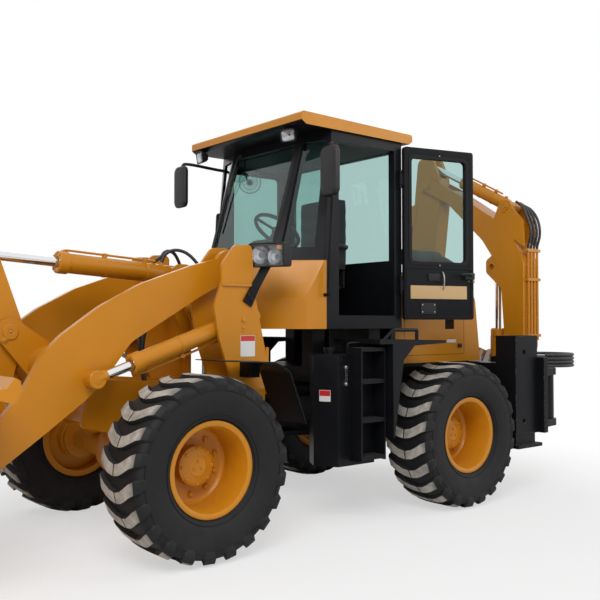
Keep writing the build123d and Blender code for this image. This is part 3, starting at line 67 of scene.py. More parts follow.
def link_nodes(tree, *pairs):
    """Links (from node, output) to (to node, input)."""
    for source, output, target, entry in pairs:
        tree.links.new(source.outputs[output], target.inputs[entry])


def math_node(tree, operation, first=None, second=None, clamp=False):
    made = tree.nodes.new("ShaderNodeMath")
    made.operation = operation
    made.use_clamp = clamp
    for place, value in enumerate((first, second)):
        if isinstance(value, (int, float)):
            made.inputs[place].default_value = value
        elif value is not None:
            tree.links.new(value, made.inputs[place])
    return made.outputs[0]


world = bpy.data.worlds.new("studio_sky")
world.use_nodes = True
scene.world = world
sky = world.node_tree
sky_rays = sky.nodes.new("ShaderNodeLightPath").outputs
seen_or_mirrored = math_node(sky, "MAXIMUM", sky_rays["Is Camera Ray"], sky_rays["Is Glossy Ray"])
seen_at_all = math_node(sky, "MAXIMUM", seen_or_mirrored, sky_rays["Is Transmission Ray"])
sky_level = sky.nodes.new("ShaderNodeMapRange")
sky_level.inputs["To Min"].default_value = SKY_LEVEL
sky_level.inputs["To Max"].default_value = 1.0
sky.links.new(seen_at_all, sky_level.inputs["Value"])
sky.links.new(sky_level.outputs[0], sky.nodes["Background"].inputs["Strength"])
sky.nodes["Background"].inputs["Color"].default_value = (1.0, 1.0, 1.0, 1.0)

floor_mesh = bpy.data.meshes.new("studio_floor")
half_floor = FLOOR_SIZE / 2
floor_mesh.from_pydata(
    [(x * half_floor, y * half_floor, 0.0) for x, y in ((-1, -1), (1, -1), (1, 1), (-1, 1))], [],
    [(0, 1, 2, 3)]
)
studio_floor = mesh_object("studio_floor", floor_mesh)
floor_paper, paper_nodes, _, floor_shader = new_material("floor_paper")
floor_shader.inputs["Base Color"].default_value = (0.93, 0.93, 0.93, 1.0)
floor_shader.inputs["Roughness"].default_value = 0.9
floor_shader.inputs["Specular IOR Level"].default_value = 0.1
paper_place = paper_nodes.new("ShaderNodeTexCoord")
paper_reach = paper_nodes.new("ShaderNodeVectorMath")
paper_reach.operation = "LENGTH"
paper_fade = paper_nodes.new("ShaderNodeMapRange")
paper_fade.interpolation_type = "SMOOTHSTEP"
paper_fade.inputs["From Min"].default_value = 2.6
paper_fade.inputs["From Max"].default_value = 5.5
paper_fade.inputs["To Min"].default_value = 0.55
paper_rays = paper_nodes.new("ShaderNodeLightPath")
paper_seen = math_node(
    floor_paper.node_tree, "MULTIPLY", paper_fade.outputs[0], paper_rays.outputs["Is Camera Ray"]
).node
plain_white = paper_nodes.new("ShaderNodeEmission")
paper_mix = paper_nodes.new("ShaderNodeMixShader")
link_nodes(
    floor_paper.node_tree, (paper_place, "Object", paper_reach, 0),
    (paper_reach, "Value", paper_fade, "Value"), (paper_seen, 0, paper_mix, "Fac"),
    (floor_shader, 0, paper_mix, 1), (plain_white, 0, paper_mix, 2),
    (paper_mix, 0, paper_nodes["Material Output"], "Surface")
)
floor_mesh.materials.append(floor_paper)


def soft_lamp(name, place, target, size, power):
    lamp = bpy.data.lights.new(name, "AREA")
    lamp.shape = "SQUARE"
    lamp.size = size
    lamp.energy = power
    stand = bpy.data.objects.new(name, lamp)
    stand.location = place
    aim = Vector(target) - Vector(place)
    stand.rotation_euler = aim.to_track_quat("-Z", "Y").to_euler()
    stand.visible_camera = False
    stand.visible_transmission = False
    scene.collection.objects.link(stand)


soft_lamp("key_lamp", (5.0, 6.5, 7.5), (0.0, 0.0, 1.0), 5.0, KEY_POWER)
soft_lamp("fill_lamp", (-7.0, 5.0, 5.0), (-1.0, 0.0, 1.2), 5.0, FILL_POWER)
soft_lamp("back_lamp", (-3.0, -7.0, 6.0), (0.0, 0.0, 1.2), 5.0, FILL_POWER)
photo_camera = bpy.data.objects.new("photo_camera", bpy.data.cameras.new("photo_camera"))
photo_camera.data.lens = CAMERA_LENS
photo_camera.data.sensor_width = 36.0
photo_camera.location = CAMERA_PLACE
photo_camera.rotation_euler = [radians(angle) for angle in CAMERA_TURN]
scene.collection.objects.link(photo_camera)
scene.camera = photo_camera


# Tyres: moulded rubber carcasses with deep bent traction bars on both shoulders. The bars are
# made once and set round the tyre; yard dust lies pale on the middle of their faces.
BAR_COUNT = 22
BAR_ROOT = 0.518
DUST_COLOUR = (0.33, 0.315, 0.285, 1.0)
RUBBER_COLOUR = (0.009, 0.009, 0.010, 1.0)
BAR_FACE = 0.530
TREAD_STEPS = 96


def node_tree_sockets(tree, sockets):
    """Adds (name, INPUT or OUTPUT, kind, value) sockets to a node group."""
    for name, way, kind, value in sockets:
        socket = tree.interface.new_socket(name=name, in_out=way, socket_type=kind)
        if value is not None:
            socket.default_value = value


def noise_node(tree, scale, detail=3.0, roughness=0.55):
    where = tree.nodes.new("ShaderNodeTexCoord")
    made = tree.nodes.new("ShaderNodeTexNoise")
    made.inputs["Scale"].default_value = scale
    made.inputs["Detail"].default_value = detail
    made.inputs["Roughness"].default_value = roughness
    tree.links.new(where.outputs["Object"], made.inputs["Vector"])
    return made.outputs["Fac"]


def mix_colours(tree, amount, first, second):
    made = tree.nodes.new("ShaderNodeMix")
    made.data_type = "RGBA"
    for entry, value in ((0, amount), (6, first), (7, second)):
        if isinstance(value, bpy.types.NodeSocket):
            tree.links.new(value, made.inputs[entry])
        else:
            made.inputs[entry].default_value = value
    return made.outputs[2]


def settled_dust_group():
    """Colour, roughness and height of a finish that dust settles on from above and below."""
    tree = bpy.data.node_groups.new("settled_dust", "ShaderNodeTree")
    node_tree_sockets(
        tree,
        [
            ("Finish Colour", "INPUT", "NodeSocketColor", (0.5, 0.5, 0.5, 1.0)),
            ("Dust Colour", "INPUT", "NodeSocketColor", DUST_COLOUR),
            ("Dust", "INPUT", "NodeSocketFloat", 0.2), ("Wear", "INPUT", "NodeSocketFloat", 0.2),
            ("Gloss Roughness", "INPUT", "NodeSocketFloat", 0.3),
            ("Colour", "OUTPUT", "NodeSocketColor", None), ("Roughness", "OUTPUT", "NodeSocketFloat", None),
            ("Height", "OUTPUT", "NodeSocketFloat", None)
        ]
    )
    given = tree.nodes.new("NodeGroupInput")
    result = tree.nodes.new("NodeGroupOutput")
    surface = tree.nodes.new("ShaderNodeNewGeometry")
    facing = tree.nodes.new("ShaderNodeSeparateXYZ")
    tree.links.new(surface.outputs["Normal"], facing.inputs[0])
    where = tree.nodes.new("ShaderNodeTexCoord")
    place = tree.nodes.new("ShaderNodeSeparateXYZ")
    tree.links.new(where.outputs["Object"], place.inputs[0])
    upward = math_node(tree, "MULTIPLY", facing.outputs["Z"], 0.75, clamp=True)
    low = math_node(tree, "SUBTRACT", 0.55, place.outputs["Z"], clamp=True)
    patches = math_node(tree, "MULTIPLY_ADD", noise_node(tree, 5.0, 6.0, 0.65), 2.4)
    patches.node.inputs[2].default_value = -0.75
    patches.node.use_clamp = True
    exposed = math_node(tree, "ADD", math_node(tree, "ADD", upward, low), 0.12)
    dust = math_node(
        tree, "MULTIPLY", math_node(tree, "MULTIPLY", exposed, patches), given.outputs["Dust"], True
    )
    edges = tree.nodes.new("ShaderNodeAttribute")
    edges.attribute_name = "worn_edge"
    chips = math_node(tree, "GREATER_THAN", noise_node(tree, 55.0, 2.0), 0.56)
    worn = math_node(
        tree, "MULTIPLY", math_node(tree, "MULTIPLY", edges.outputs["Fac"], chips), given.outputs["Wear"],
        True
    )
    fade = math_node(tree, "MULTIPLY_ADD", noise_node(tree, 1.7, 2.0), 0.28)
    fade.node.inputs[2].default_value = 0.86
    shade = tree.nodes.new("ShaderNodeVectorMath")
    shade.operation = "SCALE"
    tree.links.new(given.outputs["Finish Colour"], shade.inputs[0])
    tree.links.new(fade, shade.inputs["Scale"])
    chipped = mix_colours(tree, worn, shade.outputs[0], (0.32, 0.29, 0.25, 1.0))
    dusty = mix_colours(tree, dust, chipped, given.outputs["Dust Colour"])
    tree.links.new(dusty, result.inputs["Colour"])
    smears = math_node(tree, "MULTIPLY_ADD", noise_node(tree, 9.0, 4.0), 0.16)
    smears.node.inputs[2].default_value = -0.08
    rough = math_node(tree, "ADD", given.outputs["Gloss Roughness"], smears)
    dull = math_node(tree, "MULTIPLY", dust, 0.5)
    tree.links.new(math_node(tree, "ADD", rough, dull, True), result.inputs["Roughness"])
    peel = math_node(tree, "MULTIPLY", noise_node(tree, 260.0, 2.0), 0.5)
    tree.links.new(math_node(tree, "ADD", peel, dust), result.inputs["Height"])
    return tree


settled_dust = settled_dust_group()


def finish_material(name, colour, roughness, dust, wear, metallic=0.0, coat=0.0, bump=0.0004, shine=0.5):
    """A painted, moulded or cast finish with its dust, smears and edge wear."""
    made, nodes, links, shader = new_material(name)
    film = nodes.new("ShaderNodeGroup")
    film.node_tree = settled_dust
    film.inputs["Finish Colour"].default_value = (*colour, 1.0)
    film.inputs["Dust"].default_value = dust
    film.inputs["Wear"].default_value = wear
    film.inputs["Gloss Roughness"].default_value = roughness
    relief = nodes.new("ShaderNodeBump")
    relief.inputs["Distance"].default_value = bump
    links.new(film.outputs["Colour"], shader.inputs["Base Color"])
    links.new(film.outputs["Roughness"], shader.inputs["Roughness"])
    links.new(film.outputs["Height"], relief.inputs["Height"])
    links.new(relief.outputs["Normal"], shader.inputs["Normal"])
    shader.inputs["Metallic"].default_value = metallic
    shader.inputs["Specular IOR Level"].default_value = shine
    shader.inputs["Coat Weight"].default_value = coat
    shader.inputs["Coat Roughness"].default_value = 0.12
    return made


def rubber_material():
    """Tyre rubber; the raised faces of the bars carry pale dust towards the middle."""
    made, nodes, links, shader = new_material("tyre_rubber")
    tree = made.node_tree
    tread = nodes.new("ShaderNodeAttribute")
    tread.attribute_name = "bar_face"
    patches = math_node(tree, "MULTIPLY_ADD", noise_node(tree, 14.0, 5.0, 0.6), 1.6)
    patches.node.inputs[2].default_value = 0.02
    patches.node.use_clamp = True
    dust = math_node(tree, "MULTIPLY", tread.outputs["Fac"], patches, True)
    film = nodes.new("ShaderNodeGroup")
    film.node_tree = settled_dust
    film.inputs["Finish Colour"].default_value = RUBBER_COLOUR
    film.inputs["Dust"].default_value = 0.07
    film.inputs["Wear"].default_value = 0.0
    film.inputs["Gloss Roughness"].default_value = 0.62
    links.new(
        mix_colours(tree, dust, film.outputs["Colour"], (0.52, 0.485, 0.43, 1.0)), shader.inputs["Base Color"]
    )
    links.new(film.outputs["Roughness"], shader.inputs["Roughness"])
    shader.inputs["Specular IOR Level"].default_value = 0.25
    relief = nodes.new("ShaderNodeBump")
    relief.inputs["Distance"].default_value = 0.0015
    links.new(noise_node(tree, 90.0, 4.0), relief.inputs["Height"])
    links.new(relief.outputs["Normal"], shader.inputs["Normal"])
    return made


def repeat_tree(name, placing):
    """Geometry nodes that copy a pattern piece round an axis or along a row."""
    tree = bpy.data.node_groups.new(name, "GeometryNodeTree")
    node_tree_sockets(
        tree,
        [
            ("Pattern", "INPUT", "NodeSocketObject", None), ("Copies", "INPUT", "NodeSocketInt", 8),
            ("Step", "INPUT", "NodeSocketVector", (0.0, 0.0, 0.0)),
            ("Finish", "INPUT", "NodeSocketMaterial", None),
            ("Geometry", "OUTPUT", "NodeSocketGeometry", None)
        ]
    )
    add = tree.nodes.new
    given, result = add("NodeGroupInput"), add("NodeGroupOutput")
    points, number, step = add("GeometryNodePoints"), add(
        "GeometryNodeInputIndex"
    ), add("ShaderNodeVectorMath")
    step.operation = "SCALE"
    pattern, copies = add("GeometryNodeObjectInfo"), add("GeometryNodeInstanceOnPoints")
    real, finish = add("GeometryNodeRealizeInstances"), add("GeometryNodeSetMaterial")
    link_nodes(
        tree, (given, "Copies", points, "Count"), (given, "Step", step, 0), (number, 0, step, "Scale"),
        (given, "Pattern", pattern, "Object"), (points, 0, copies, "Points"),
        (pattern, "Geometry", copies, "Instance"), (copies, 0, real, 0), (real, 0, finish, "Geometry"),
        (given, "Finish", finish, "Material"), (finish, 0, result, 0)
    )
    if placing == "round":
        link_nodes(tree, (step, 0, copies, "Rotation"))
    else:
        link_nodes(tree, (step, 0, points, "Position"))
    return tree


ROUND_TREE = repeat_tree("copies_round_an_axis", "round")
ROW_TREE = repeat_tree("copies_in_a_row", "row")


def repeated(name, pattern_mesh, tree, copies, step, finish):
    """Copies a pattern mesh by the node tree and returns one plain mesh."""
    pattern = mesh_object("pattern", pattern_mesh)
    carrier = mesh_object(name, bpy.data.meshes.new(name))
    maker = carrier.modifiers.new("copies", "NODES")
    maker.node_group = tree
    given = {"Pattern": pattern, "Copies": copies, "Step": step, "Finish": finish}
    for socket in tree.interface.items_tree:
        if socket.in_out == "INPUT":
            maker[socket.identifier] = given[socket.name]
    bpy.context.view_layer.update()
    seen = carrier.evaluated_get(bpy.context.evaluated_depsgraph_get())
    mesh = bpy.data.meshes.new_from_object(seen)
    bpy.data.objects.remove(carrier)
    bpy.data.objects.remove(pattern)
    if not mesh.materials:
        mesh.materials.append(finish)
    mesh.name = name
    return mesh


def shaded(mesh, angle=34.0):
    mesh.polygons.foreach_set("use_smooth", [True] * len(mesh.polygons))
    mesh.set_sharp_from_angle(angle=radians(angle))
    return mesh


def mesh_from(work, name, finish=None):
    """The plain mesh of a bmesh, with its finish."""
    made = bpy.data.meshes.new(name)
    work.to_mesh(made)
    work.free()
    if finish:
        made.materials.append(finish)
    return made


def rounded_edges(work, edges, edge, steps=2, profile=0.7):
    """Rounds some edges; returns the faces of the rounds."""
    return bmesh.ops.bevel(
        work, geom=edges, offset=edge, segments=steps, profile=profile, affect="EDGES", clamp_overlap=True
    )["faces"]


def set_mark(work, name, faces, level):
    """Sets a colour mark on the corners of some faces."""
    layers = work.loops.layers.float_color
    mark = layers.get(name) or layers.new(name)
    for face in faces:
        for corner in face.loops:
            corner[mark] = (level, level, level, 1.0)


def joined(name, meshes, finish=None):
    """One mesh of several, with one finish or with the finishes that they have."""
    work = bmesh.new()
    finishes = []
    marks = sorted({mark.name for mesh in meshes for mark in mesh.color_attributes})
    for mark in marks:
        work.loops.layers.float_color.new(mark)
    for mesh in meshes:
        first = len(work.faces)
        bare = [mark for mark in marks if mark not in mesh.color_attributes]
        work.from_mesh(mesh)
        work.faces.ensure_lookup_table()
        for mark in bare:
            set_mark(work, mark, work.faces[first:], 0.0)
        for face in work.faces[first:]:
            held = mesh.materials[face.material_index] if mesh.materials else finish
            held = finish or held
            if held not in finishes:
                finishes.append(held)
            face.material_index = finishes.index(held)
        bpy.data.meshes.remove(mesh)
    made = mesh_from(work, name)
    for held in finishes:
        made.materials.append(held)
    return made


def lathe(name, profile, steps=48, axis="Z", centre=(0, 0, 0), closed=True, finish=None):
    """Turns a profile of (along, radius) about an axis; a radius of 0 closes on the axis."""
    work = bmesh.new()
    rings = []
    for along, radius in profile:
        ring = []
        for i in range(steps if radius > 1e-6 else 1):
            u, v = radius * cos(tau * i / steps), radius * sin(tau * i / steps)
            spot = {"X": (along, u, v), "Y": (v, along, u), "Z": (u, v, along)}[axis]
            ring.append(work.verts.new(Vector(centre) + Vector(spot)))
        rings.append(ring)
    pairs = list(zip(rings, rings[1:]))
    if closed and len(rings[0]) > 1:
        pairs.append((rings[-1], rings[0]))
    for one, two in pairs:
        for i in range(steps):
            j = (i + 1) % steps
            corners = [one[i % len(one)], one[j % len(one)], two[j % len(two)], two[i % len(two)]]
            corners = list(dict.fromkeys(corners))
            if len(corners) > 2:
                work.faces.new(corners)
    bmesh.ops.recalc_face_normals(work, faces=work.faces)
    return mesh_from(work, name, finish)


def smooth_line(points, parts):
    """Points of a curve that passes through the given ones."""
    line = []
    ends = [points[0], *points, points[-1]]
    for a, b, c, d in zip(ends, ends[1:], ends[2:], ends[3:]):
        for i in range(parts):
            t = i / parts
            line.append(tuple(
                0.5 * (2 * q + (r - p) * t + (
                    2 * p - 5 * q + 4 * r - s
                ) * t * t + (3 * q - p - 3 * r + s) * t * t * t)
                for p, q, r, s in zip(a, b, c, d)
            ))
    return [*line, points[-1]]


def tread_bar(side):
    """One traction bar: a bent block that runs from the middle down over the shoulder."""
    stations = [
        # across from the middle, way round, face radius, root radius, half width of the face
        (0.004, 0.040, 0.5550, BAR_ROOT, 0.033), (0.060, 0.030, 0.5550, BAR_ROOT, 0.034),
        (0.112, 0.006, 0.5540, BAR_ROOT, 0.036), (0.160, -0.022, 0.5490, 0.512, 0.037),
        (0.194, -0.036, 0.5380, 0.500, 0.037), (0.2150, -0.041, 0.5080, 0.470, 0.034),
        (0.2165, -0.043, 0.4700, 0.440, 0.024),
    ]
    work = bmesh.new()
    rings = []
    for across, way, face, root, half in stations:
        inner = across if across < 0.2 else 0.200
        ring = [
            (way - half - 0.012, inner, root), (way - half, across, face), (way + half, across, face),
            (way + half + 0.012, inner, root)
        ]
        rings.append([work.verts.new((x, side * y, z - 0.5 * x * x / z)) for x, y, z in ring])
    for one, two in zip(rings, rings[1:]):
        for i in range(4):
            j = (i + 1) % 4
            work.faces.new((one[i], one[j], two[j], two[i]))
    work.faces.new(rings[0])
    work.faces.new(rings[-1])
    bmesh.ops.recalc_face_normals(work, faces=work.faces)
    edges = [edge for edge in work.edges if edge.calc_face_angle(0.0) > radians(32)]
    rounded_edges(work, edges, 0.0035, profile=0.6)
    face_mark = work.loops.layers.float_color.new("bar_face")
    for face in work.faces:
        for corner in face.loops:
            up = corner.vert.co.z > BAR_FACE
            middle = max(0.0, min(1.0, (0.205 - abs(corner.vert.co.y)) / 0.03))
            level = middle if up and face.normal.z > 0.8 else 0.0
            corner[face_mark] = (level, level, level, 1.0)
    return mesh_from(work, "tread_bar")


tyre_rubber = rubber_material()
carcass_side = [
    (0.152, 0.262), (0.158, 0.284), (0.166, 0.297), (0.176, 0.303), (0.183, 0.300), (0.190, 0.318),
    (0.200, 0.345), (0.208, 0.385), (0.2125, 0.430), (0.209, 0.475), (0.198, 0.503), (0.170, 0.519),
    (0.110, 0.526), (0.0, 0.528)
]
half_profile = smooth_line(carcass_side, 3)
carcass_profile = half_profile + [(-y, r) for y, r in reversed(half_profile[:-1])]
tyre_parts = [lathe("carcass", carcass_profile, TREAD_STEPS, axis="Y")]
for side in (1, -1):
    tyre_parts.append(
        repeated("tread", tread_bar(side), ROUND_TREE, BAR_COUNT, (0, tau / BAR_COUNT, 0), tyre_rubber)
    )
# Moulded rings on the side walls
for side in (1, -1):
    for radius, height in ((0.318, 0.1935), (0.470, 0.2125)):
        ring = [
            (side * (height - 0.006), radius - 0.004), (side * (height + 0.002), radius - 0.002),
            (side * (height + 0.002), radius + 0.002), (side * (height - 0.006), radius + 0.004)
        ]
        tyre_parts.append(lathe("side_ring", ring, TREAD_STEPS, axis="Y"))
for part in tyre_parts:
    if not part.materials:
        part.materials.append(tyre_rubber)
tyre_pattern = shaded(joined("tyre_pattern", tyre_parts, tyre_rubber), 40.0)
WHEELS = [
    # name, place of the wheel's centre, outer side
    ("front_left", (0.672, 0.895, 0.555), 1), ("front_right", (0.672, -0.895, 0.555), -1),
    ("rear_left", (-1.678, 0.895, 0.555), 1), ("rear_right", (-1.678, -0.895, 0.555), -1),
]


def stands_for(name, mesh, body, slot, *nodes):
    """Makes the finished piece: it rides on its body and stands for its CAD nodes."""
    made = mesh_object(name, mesh)
    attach(made, body)
    if nodes:
        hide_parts(*nodes)
    return made


def wheel_place(centre, side):
    return Matrix.Translation(centre) @ Matrix.Rotation(0.0 if side > 0 else pi, 4, "Z")


for wheel, centre, side in WHEELS:
    mesh = tyre_pattern.copy()
    mesh.transform(wheel_place(centre, side))
    stands_for(wheel + "_tyre_rubber", mesh, "wheel_" + wheel, "tyre", wheel + "_tyre")


# Wheel rims: pressed and welded steel with a deep dish, sprayed yellow. The planetary hub stands
# in the dish with its bolts, and wheel nuts sit round it.
NUT_COUNT = 10
COVER_BOLTS = 8
RIM_STEPS = 72
YELLOW_COLOUR = (0.56, 0.215, 0.006)
machine_yellow = finish_material("machine_yellow", YELLOW_COLOUR, 0.34, 0.04, 0.25, coat=0.08, shine=0.35)
bolt_steel = finish_material("bolt_steel", (0.36, 0.35, 0.33), 0.38, 0.2, 0.2, metallic=0.9)


def hex_bolt(radius, height, finish, axis="Z", washer=True):
    """A bolt head on its washer, drawn with its seat at the origin."""
    parts = []
    if washer:
        parts.append(lathe(
            "washer",
            [
                (0, 0), (0, radius * 1.45), (height * 0.22, radius * 1.45), (height * 0.26, radius * 1.38),
                (height * 0.26, 0)
            ],
            16, axis=axis
        ))
    head = [
        (height * 0.2, 0), (height * 0.2, radius), (height * 0.9, radius), (height, radius * 0.82),
        (height, 0)
    ]
    parts.append(lathe("head", head, 6, axis=axis))
    return joined("bolt", parts, finish)


rim_profile = [
    (-0.1725, 0.246), (-0.1725, 0.280), (-0.169, 0.288), (-0.163, 0.288), (-0.160, 0.282), (-0.158, 0.262),
    (-0.13, 0.253), (-0.03, 0.248), (0.03, 0.248), (0.13, 0.253), (0.158, 0.262), (0.160, 0.282),
    (0.163, 0.288), (0.169, 0.288), (0.1725, 0.280), (0.1725, 0.272), (0.165, 0.256), (0.135, 0.243),
    (0.03, 0.238), (-0.03, 0.238), (-0.15, 0.243)
]
dish_profile = [
    (-0.170, 0.0), (-0.170, 0.146), (-0.166, 0.150), (-0.099, 0.150), (-0.095, 0.154), (-0.093, 0.224),
    (-0.086, 0.238), (-0.060, 0.2425), (-0.060, 0.236), (-0.074, 0.226), (-0.079, 0.214), (-0.079, 0.122),
    (-0.074, 0.118), (-0.020, 0.116), (-0.016, 0.121), (-0.008, 0.121), (-0.005, 0.116), (0.000, 0.105),
    (0.004, 0.096), (0.006, 0.060), (0.009, 0.056), (0.009, 0.0)
]
rim_parts = [
    lathe("rim_barrel", rim_profile, RIM_STEPS, axis="Y"), lathe("dish", dish_profile, RIM_STEPS, axis="Y")
]
RIM_BOLTS = [
    # how many, radius of the ring, place along the axle, size
    (NUT_COUNT, 0.178, -0.080, 0.0150), (COVER_BOLTS, 0.103, -0.004, 0.0095), (3, 0.030, 0.008, 0.0070),
]
for count, ring_radius, along, size in RIM_BOLTS:
    bolt = hex_bolt(size, size * 1.3, machine_yellow, "Y")
    bolt.transform(Matrix.Translation((0, along, ring_radius)))
    rim_parts.append(repeated("rim_bolts", bolt, ROUND_TREE, count, (0, tau / count, 0), machine_yellow))
rim_pattern = shaded(joined("rim_pattern", rim_parts, machine_yellow))
for wheel, centre, side in WHEELS:
    mesh = rim_pattern.copy()
    mesh.transform(wheel_place(centre, side))
    stands_for(wheel + "_rim_steel", mesh, "wheel_" + wheel, "yellow_paint", wheel + "_rim")


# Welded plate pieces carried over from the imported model: the plates' edges are dressed to a small
# round, as a grinder leaves them, and sprayed. Rounded edges carry the paint's wear.
satin_black = finish_material("satin_black", (0.005, 0.0055, 0.0072), 0.36, 0.06, 0.16, shine=0.16)
cast_black = finish_material("cast_black", (0.008, 0.008, 0.009), 0.5, 0.3, 0.2, bump=0.0010, shine=0.3)
casting_yellow = finish_material("casting_yellow", YELLOW_COLOUR, 0.42, 0.25, 0.2, bump=0.0012, shine=0.3)


def merged_copy(node):
    """A CAD node with its facets merged into whole faces."""
    work = bmesh.new()
    work.from_mesh(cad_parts[node].data)
    bmesh.ops.remove_doubles(work, verts=work.verts, dist=2e-5)
    bmesh.ops.dissolve_limit(work, angle_limit=radians(0.4), verts=work.verts, edges=work.edges)
    return work


def worn_rounds(work, edges, edge, steps=2):
    """Rounds some edges and marks the rounds as worn."""
    rounds = rounded_edges(work, edges, edge, steps)
    set_mark(work, "worn_edge", work.faces, 0.0)
    set_mark(work, "worn_edge", rounds, 1.0)


def sharp_edges(work, angle):
    return [e for e in work.edges if len(e.link_faces) == 2 and e.calc_face_angle(0.0) > radians(angle)]


def dressed_plates(node, edge, finish):
    """A merged copy of a CAD node with its sharp edges rounded."""
    work = merged_copy(node)
    bmesh.ops.triangulate(work, faces=[face for face in work.faces if len(face.verts) > 4])
    worn_rounds(work, sharp_edges(work, 33), edge)
    return shaded(mesh_from(work, node, finish), 28.0)


def weighted(piece):
    evened = piece.modifiers.new("evened_normals", "WEIGHTED_NORMAL")
    evened.keep_sharp = True
    return piece


PLATE_PIECES = [
    # CAD node, body, slot, round on its edges, finish
    ("front_frame", "front_body", "yellow_paint", 0.004, machine_yellow),
    ("front_axle", "front_body", "yellow_paint", 0.004, casting_yellow),
    ("loader_arms", "arms", "yellow_paint", 0.005, machine_yellow),
    ("bellcrank", "lever", "yellow_paint", 0.005, machine_yellow),
    ("bucket_link", "link", "yellow_paint", 0.006, machine_yellow),
    ("loader_bucket", "bucket", "yellow_paint", 0.004, machine_yellow),
    ("rear_chassis", "chassis", "black_paint", 0.004, satin_black),
    ("rear_axle", "chassis", "black_paint", 0.004, casting_yellow),
    ("engine_block", "chassis", "engine_iron", 0.015, cast_black),
    ("step_tanks", "chassis", "black_paint", 0.005, satin_black),
    ("rear_mudguards", "chassis", "black_paint", 0.003, satin_black),
    ("front_mudguards", "front_body", "black_paint", 0.002, satin_black),
    ("slide_frame", "chassis", "black_paint", 0.005, satin_black),
    ("stabiliser_left", "leg_left", "black_paint", 0.005, satin_black),
    ("stabiliser_right", "leg_right", "black_paint", 0.005, satin_black),
    ("carriage", "side_carriage", "black_paint", 0.005, satin_black),
    ("kingpost", "slew_post", "black_paint", 0.005, satin_black),
    ("boom", "hoe_boom", "yellow_paint", 0.005, machine_yellow),
    ("stick", "hoe_stick", "yellow_paint", 0.005, machine_yellow),
    ("rocker", "hoe_rocker", "yellow_paint", 0.003, machine_yellow),
    ("hoe_link", "hoe_bucket_link", "yellow_paint", 0.003, machine_yellow),
    ("hoe_bucket", "digging_bucket", "yellow_paint", 0.003, machine_yellow),
    ("hood", "chassis", "yellow_paint", 0.012, machine_yellow),
]
for node, body, slot, edge, finish in PLATE_PIECES:
    weighted(stands_for(node + "_plates", dressed_plates(node, edge, finish), body, slot, node))

# Hydraulic cylinders: honed steel tubes with a bolted gland, a cast base eye and a chromed rod
# that ends in a forged eye. Each is turned about its own line and then aimed between its pins.
FRONT_AXLE_X = 0.672
REAR_AXLE_X = -1.678
DIGGER_X = REAR_AXLE_X - 1.260
GLAND_BOLTS = 8
CYLINDERS = [
    # name, body radius, rod radius, eye radius, pin radius, base width, eye width, body's end,
    # base pin, eye pin, direction of the pins, body of the tube, body of the rod
    ("lift_left", 0.058, 0.030, 0.055, 0.030, 0.130, 0.070, 0.930,
     (0.072, 0.590, 1.460), (1.184, 0.590, 1.080), "Y", "lift_tubes", "lift_pistons"),
    ("lift_right", 0.058, 0.030, 0.055, 0.030, 0.130, 0.070, 0.930,
     (0.072, -0.590, 1.460), (1.184, -0.590, 1.080), "Y", "lift_tubes", "lift_pistons"),
    ("tilt", 0.066, 0.032, 0.060, 0.030, 0.140, 0.080, 0.880,
     (0.302, 0.0, 1.755), (1.657, 0.0, 1.840), "Y", "tilt_tube", "tilt_piston"),
    ("boom", 0.062, 0.032, 0.056, 0.028, 0.190, 0.140, 0.740,
     (DIGGER_X, 0.390, 0.620), (DIGGER_X, 0.400, 1.930), "X", "boom_tube", "boom_piston"),
    ("stick", 0.056, 0.029, 0.052, 0.026, 0.120, 0.070, 0.640,
     (DIGGER_X, 0.560, 2.470), (DIGGER_X, -0.420, 3.000), "X", "stick_tube", "stick_piston"),
    ("hoe_bucket", 0.050, 0.026, 0.048, 0.024, 0.094, 0.070, 0.670,
     (DIGGER_X, -0.690, 2.500), (DIGGER_X, -0.691, 1.340), "X", "hoe_bucket_tube", "hoe_bucket_piston"),
]
chrome, _, _, chrome_shader = new_material("chromed_rod")
chrome_shader.inputs["Base Color"].default_value = (0.80, 0.81, 0.83, 1.0)
chrome_shader.inputs["Metallic"].default_value = 1.0
chrome_tree = chrome.node_tree
chrome_polish = math_node(chrome_tree, "MULTIPLY_ADD", noise_node(chrome_tree, 30.0, 4.0), 0.14)
chrome_polish.node.inputs[2].default_value = 0.03
chrome_tree.links.new(chrome_polish, chrome_shader.inputs["Roughness"])


def aimed(mesh, start, end):
    """Turns a mesh drawn along Z so that it runs from one point towards another."""
    run = Vector(end) - Vector(start)
    mesh.transform(Matrix.Translation(start) @ run.to_track_quat("Z", "Y").to_matrix().to_4x4())
    return mesh


def eye_ring(pin_radius, radius, width, centre, axis, finish):
    """A bored eye about a pin, its rims rounded."""
    half, soft = width / 2, 0.005
    profile = [
        (-half, pin_radius + 0.001), (-half, radius - soft), (-half + soft, radius), (half - soft, radius),
        (half, radius - soft), (half, pin_radius + 0.001)
    ]
    shift = {"X": centre[0], "Y": centre[1]}[axis]
    flat = {"X": (0, centre[1], centre[2]), "Y": (centre[0], 0, centre[2])}[axis]
    return lathe(
        "eye", [(along + shift, r) for along, r in profile], 40, axis=axis, centre=flat, finish=finish
    )


def box_mesh(low, high, soft=0.004, steps=2, finish=None):
    """A block with rounded edges between two opposite corners."""
    work = bmesh.new()
    bmesh.ops.create_cube(work, size=1.0)
    low, high = (Vector(pick(pair) for pair in zip(low, high)) for pick in (min, max))
    size = high - low
    middle = (high + low) / 2
    bmesh.ops.transform(
        work, matrix=Matrix.Translation(middle) @ Matrix.Diagonal((*size, 1.0)), verts=work.verts
    )
    worn_rounds(work, work.edges[:], soft, steps)
    return mesh_from(work, "block", finish)


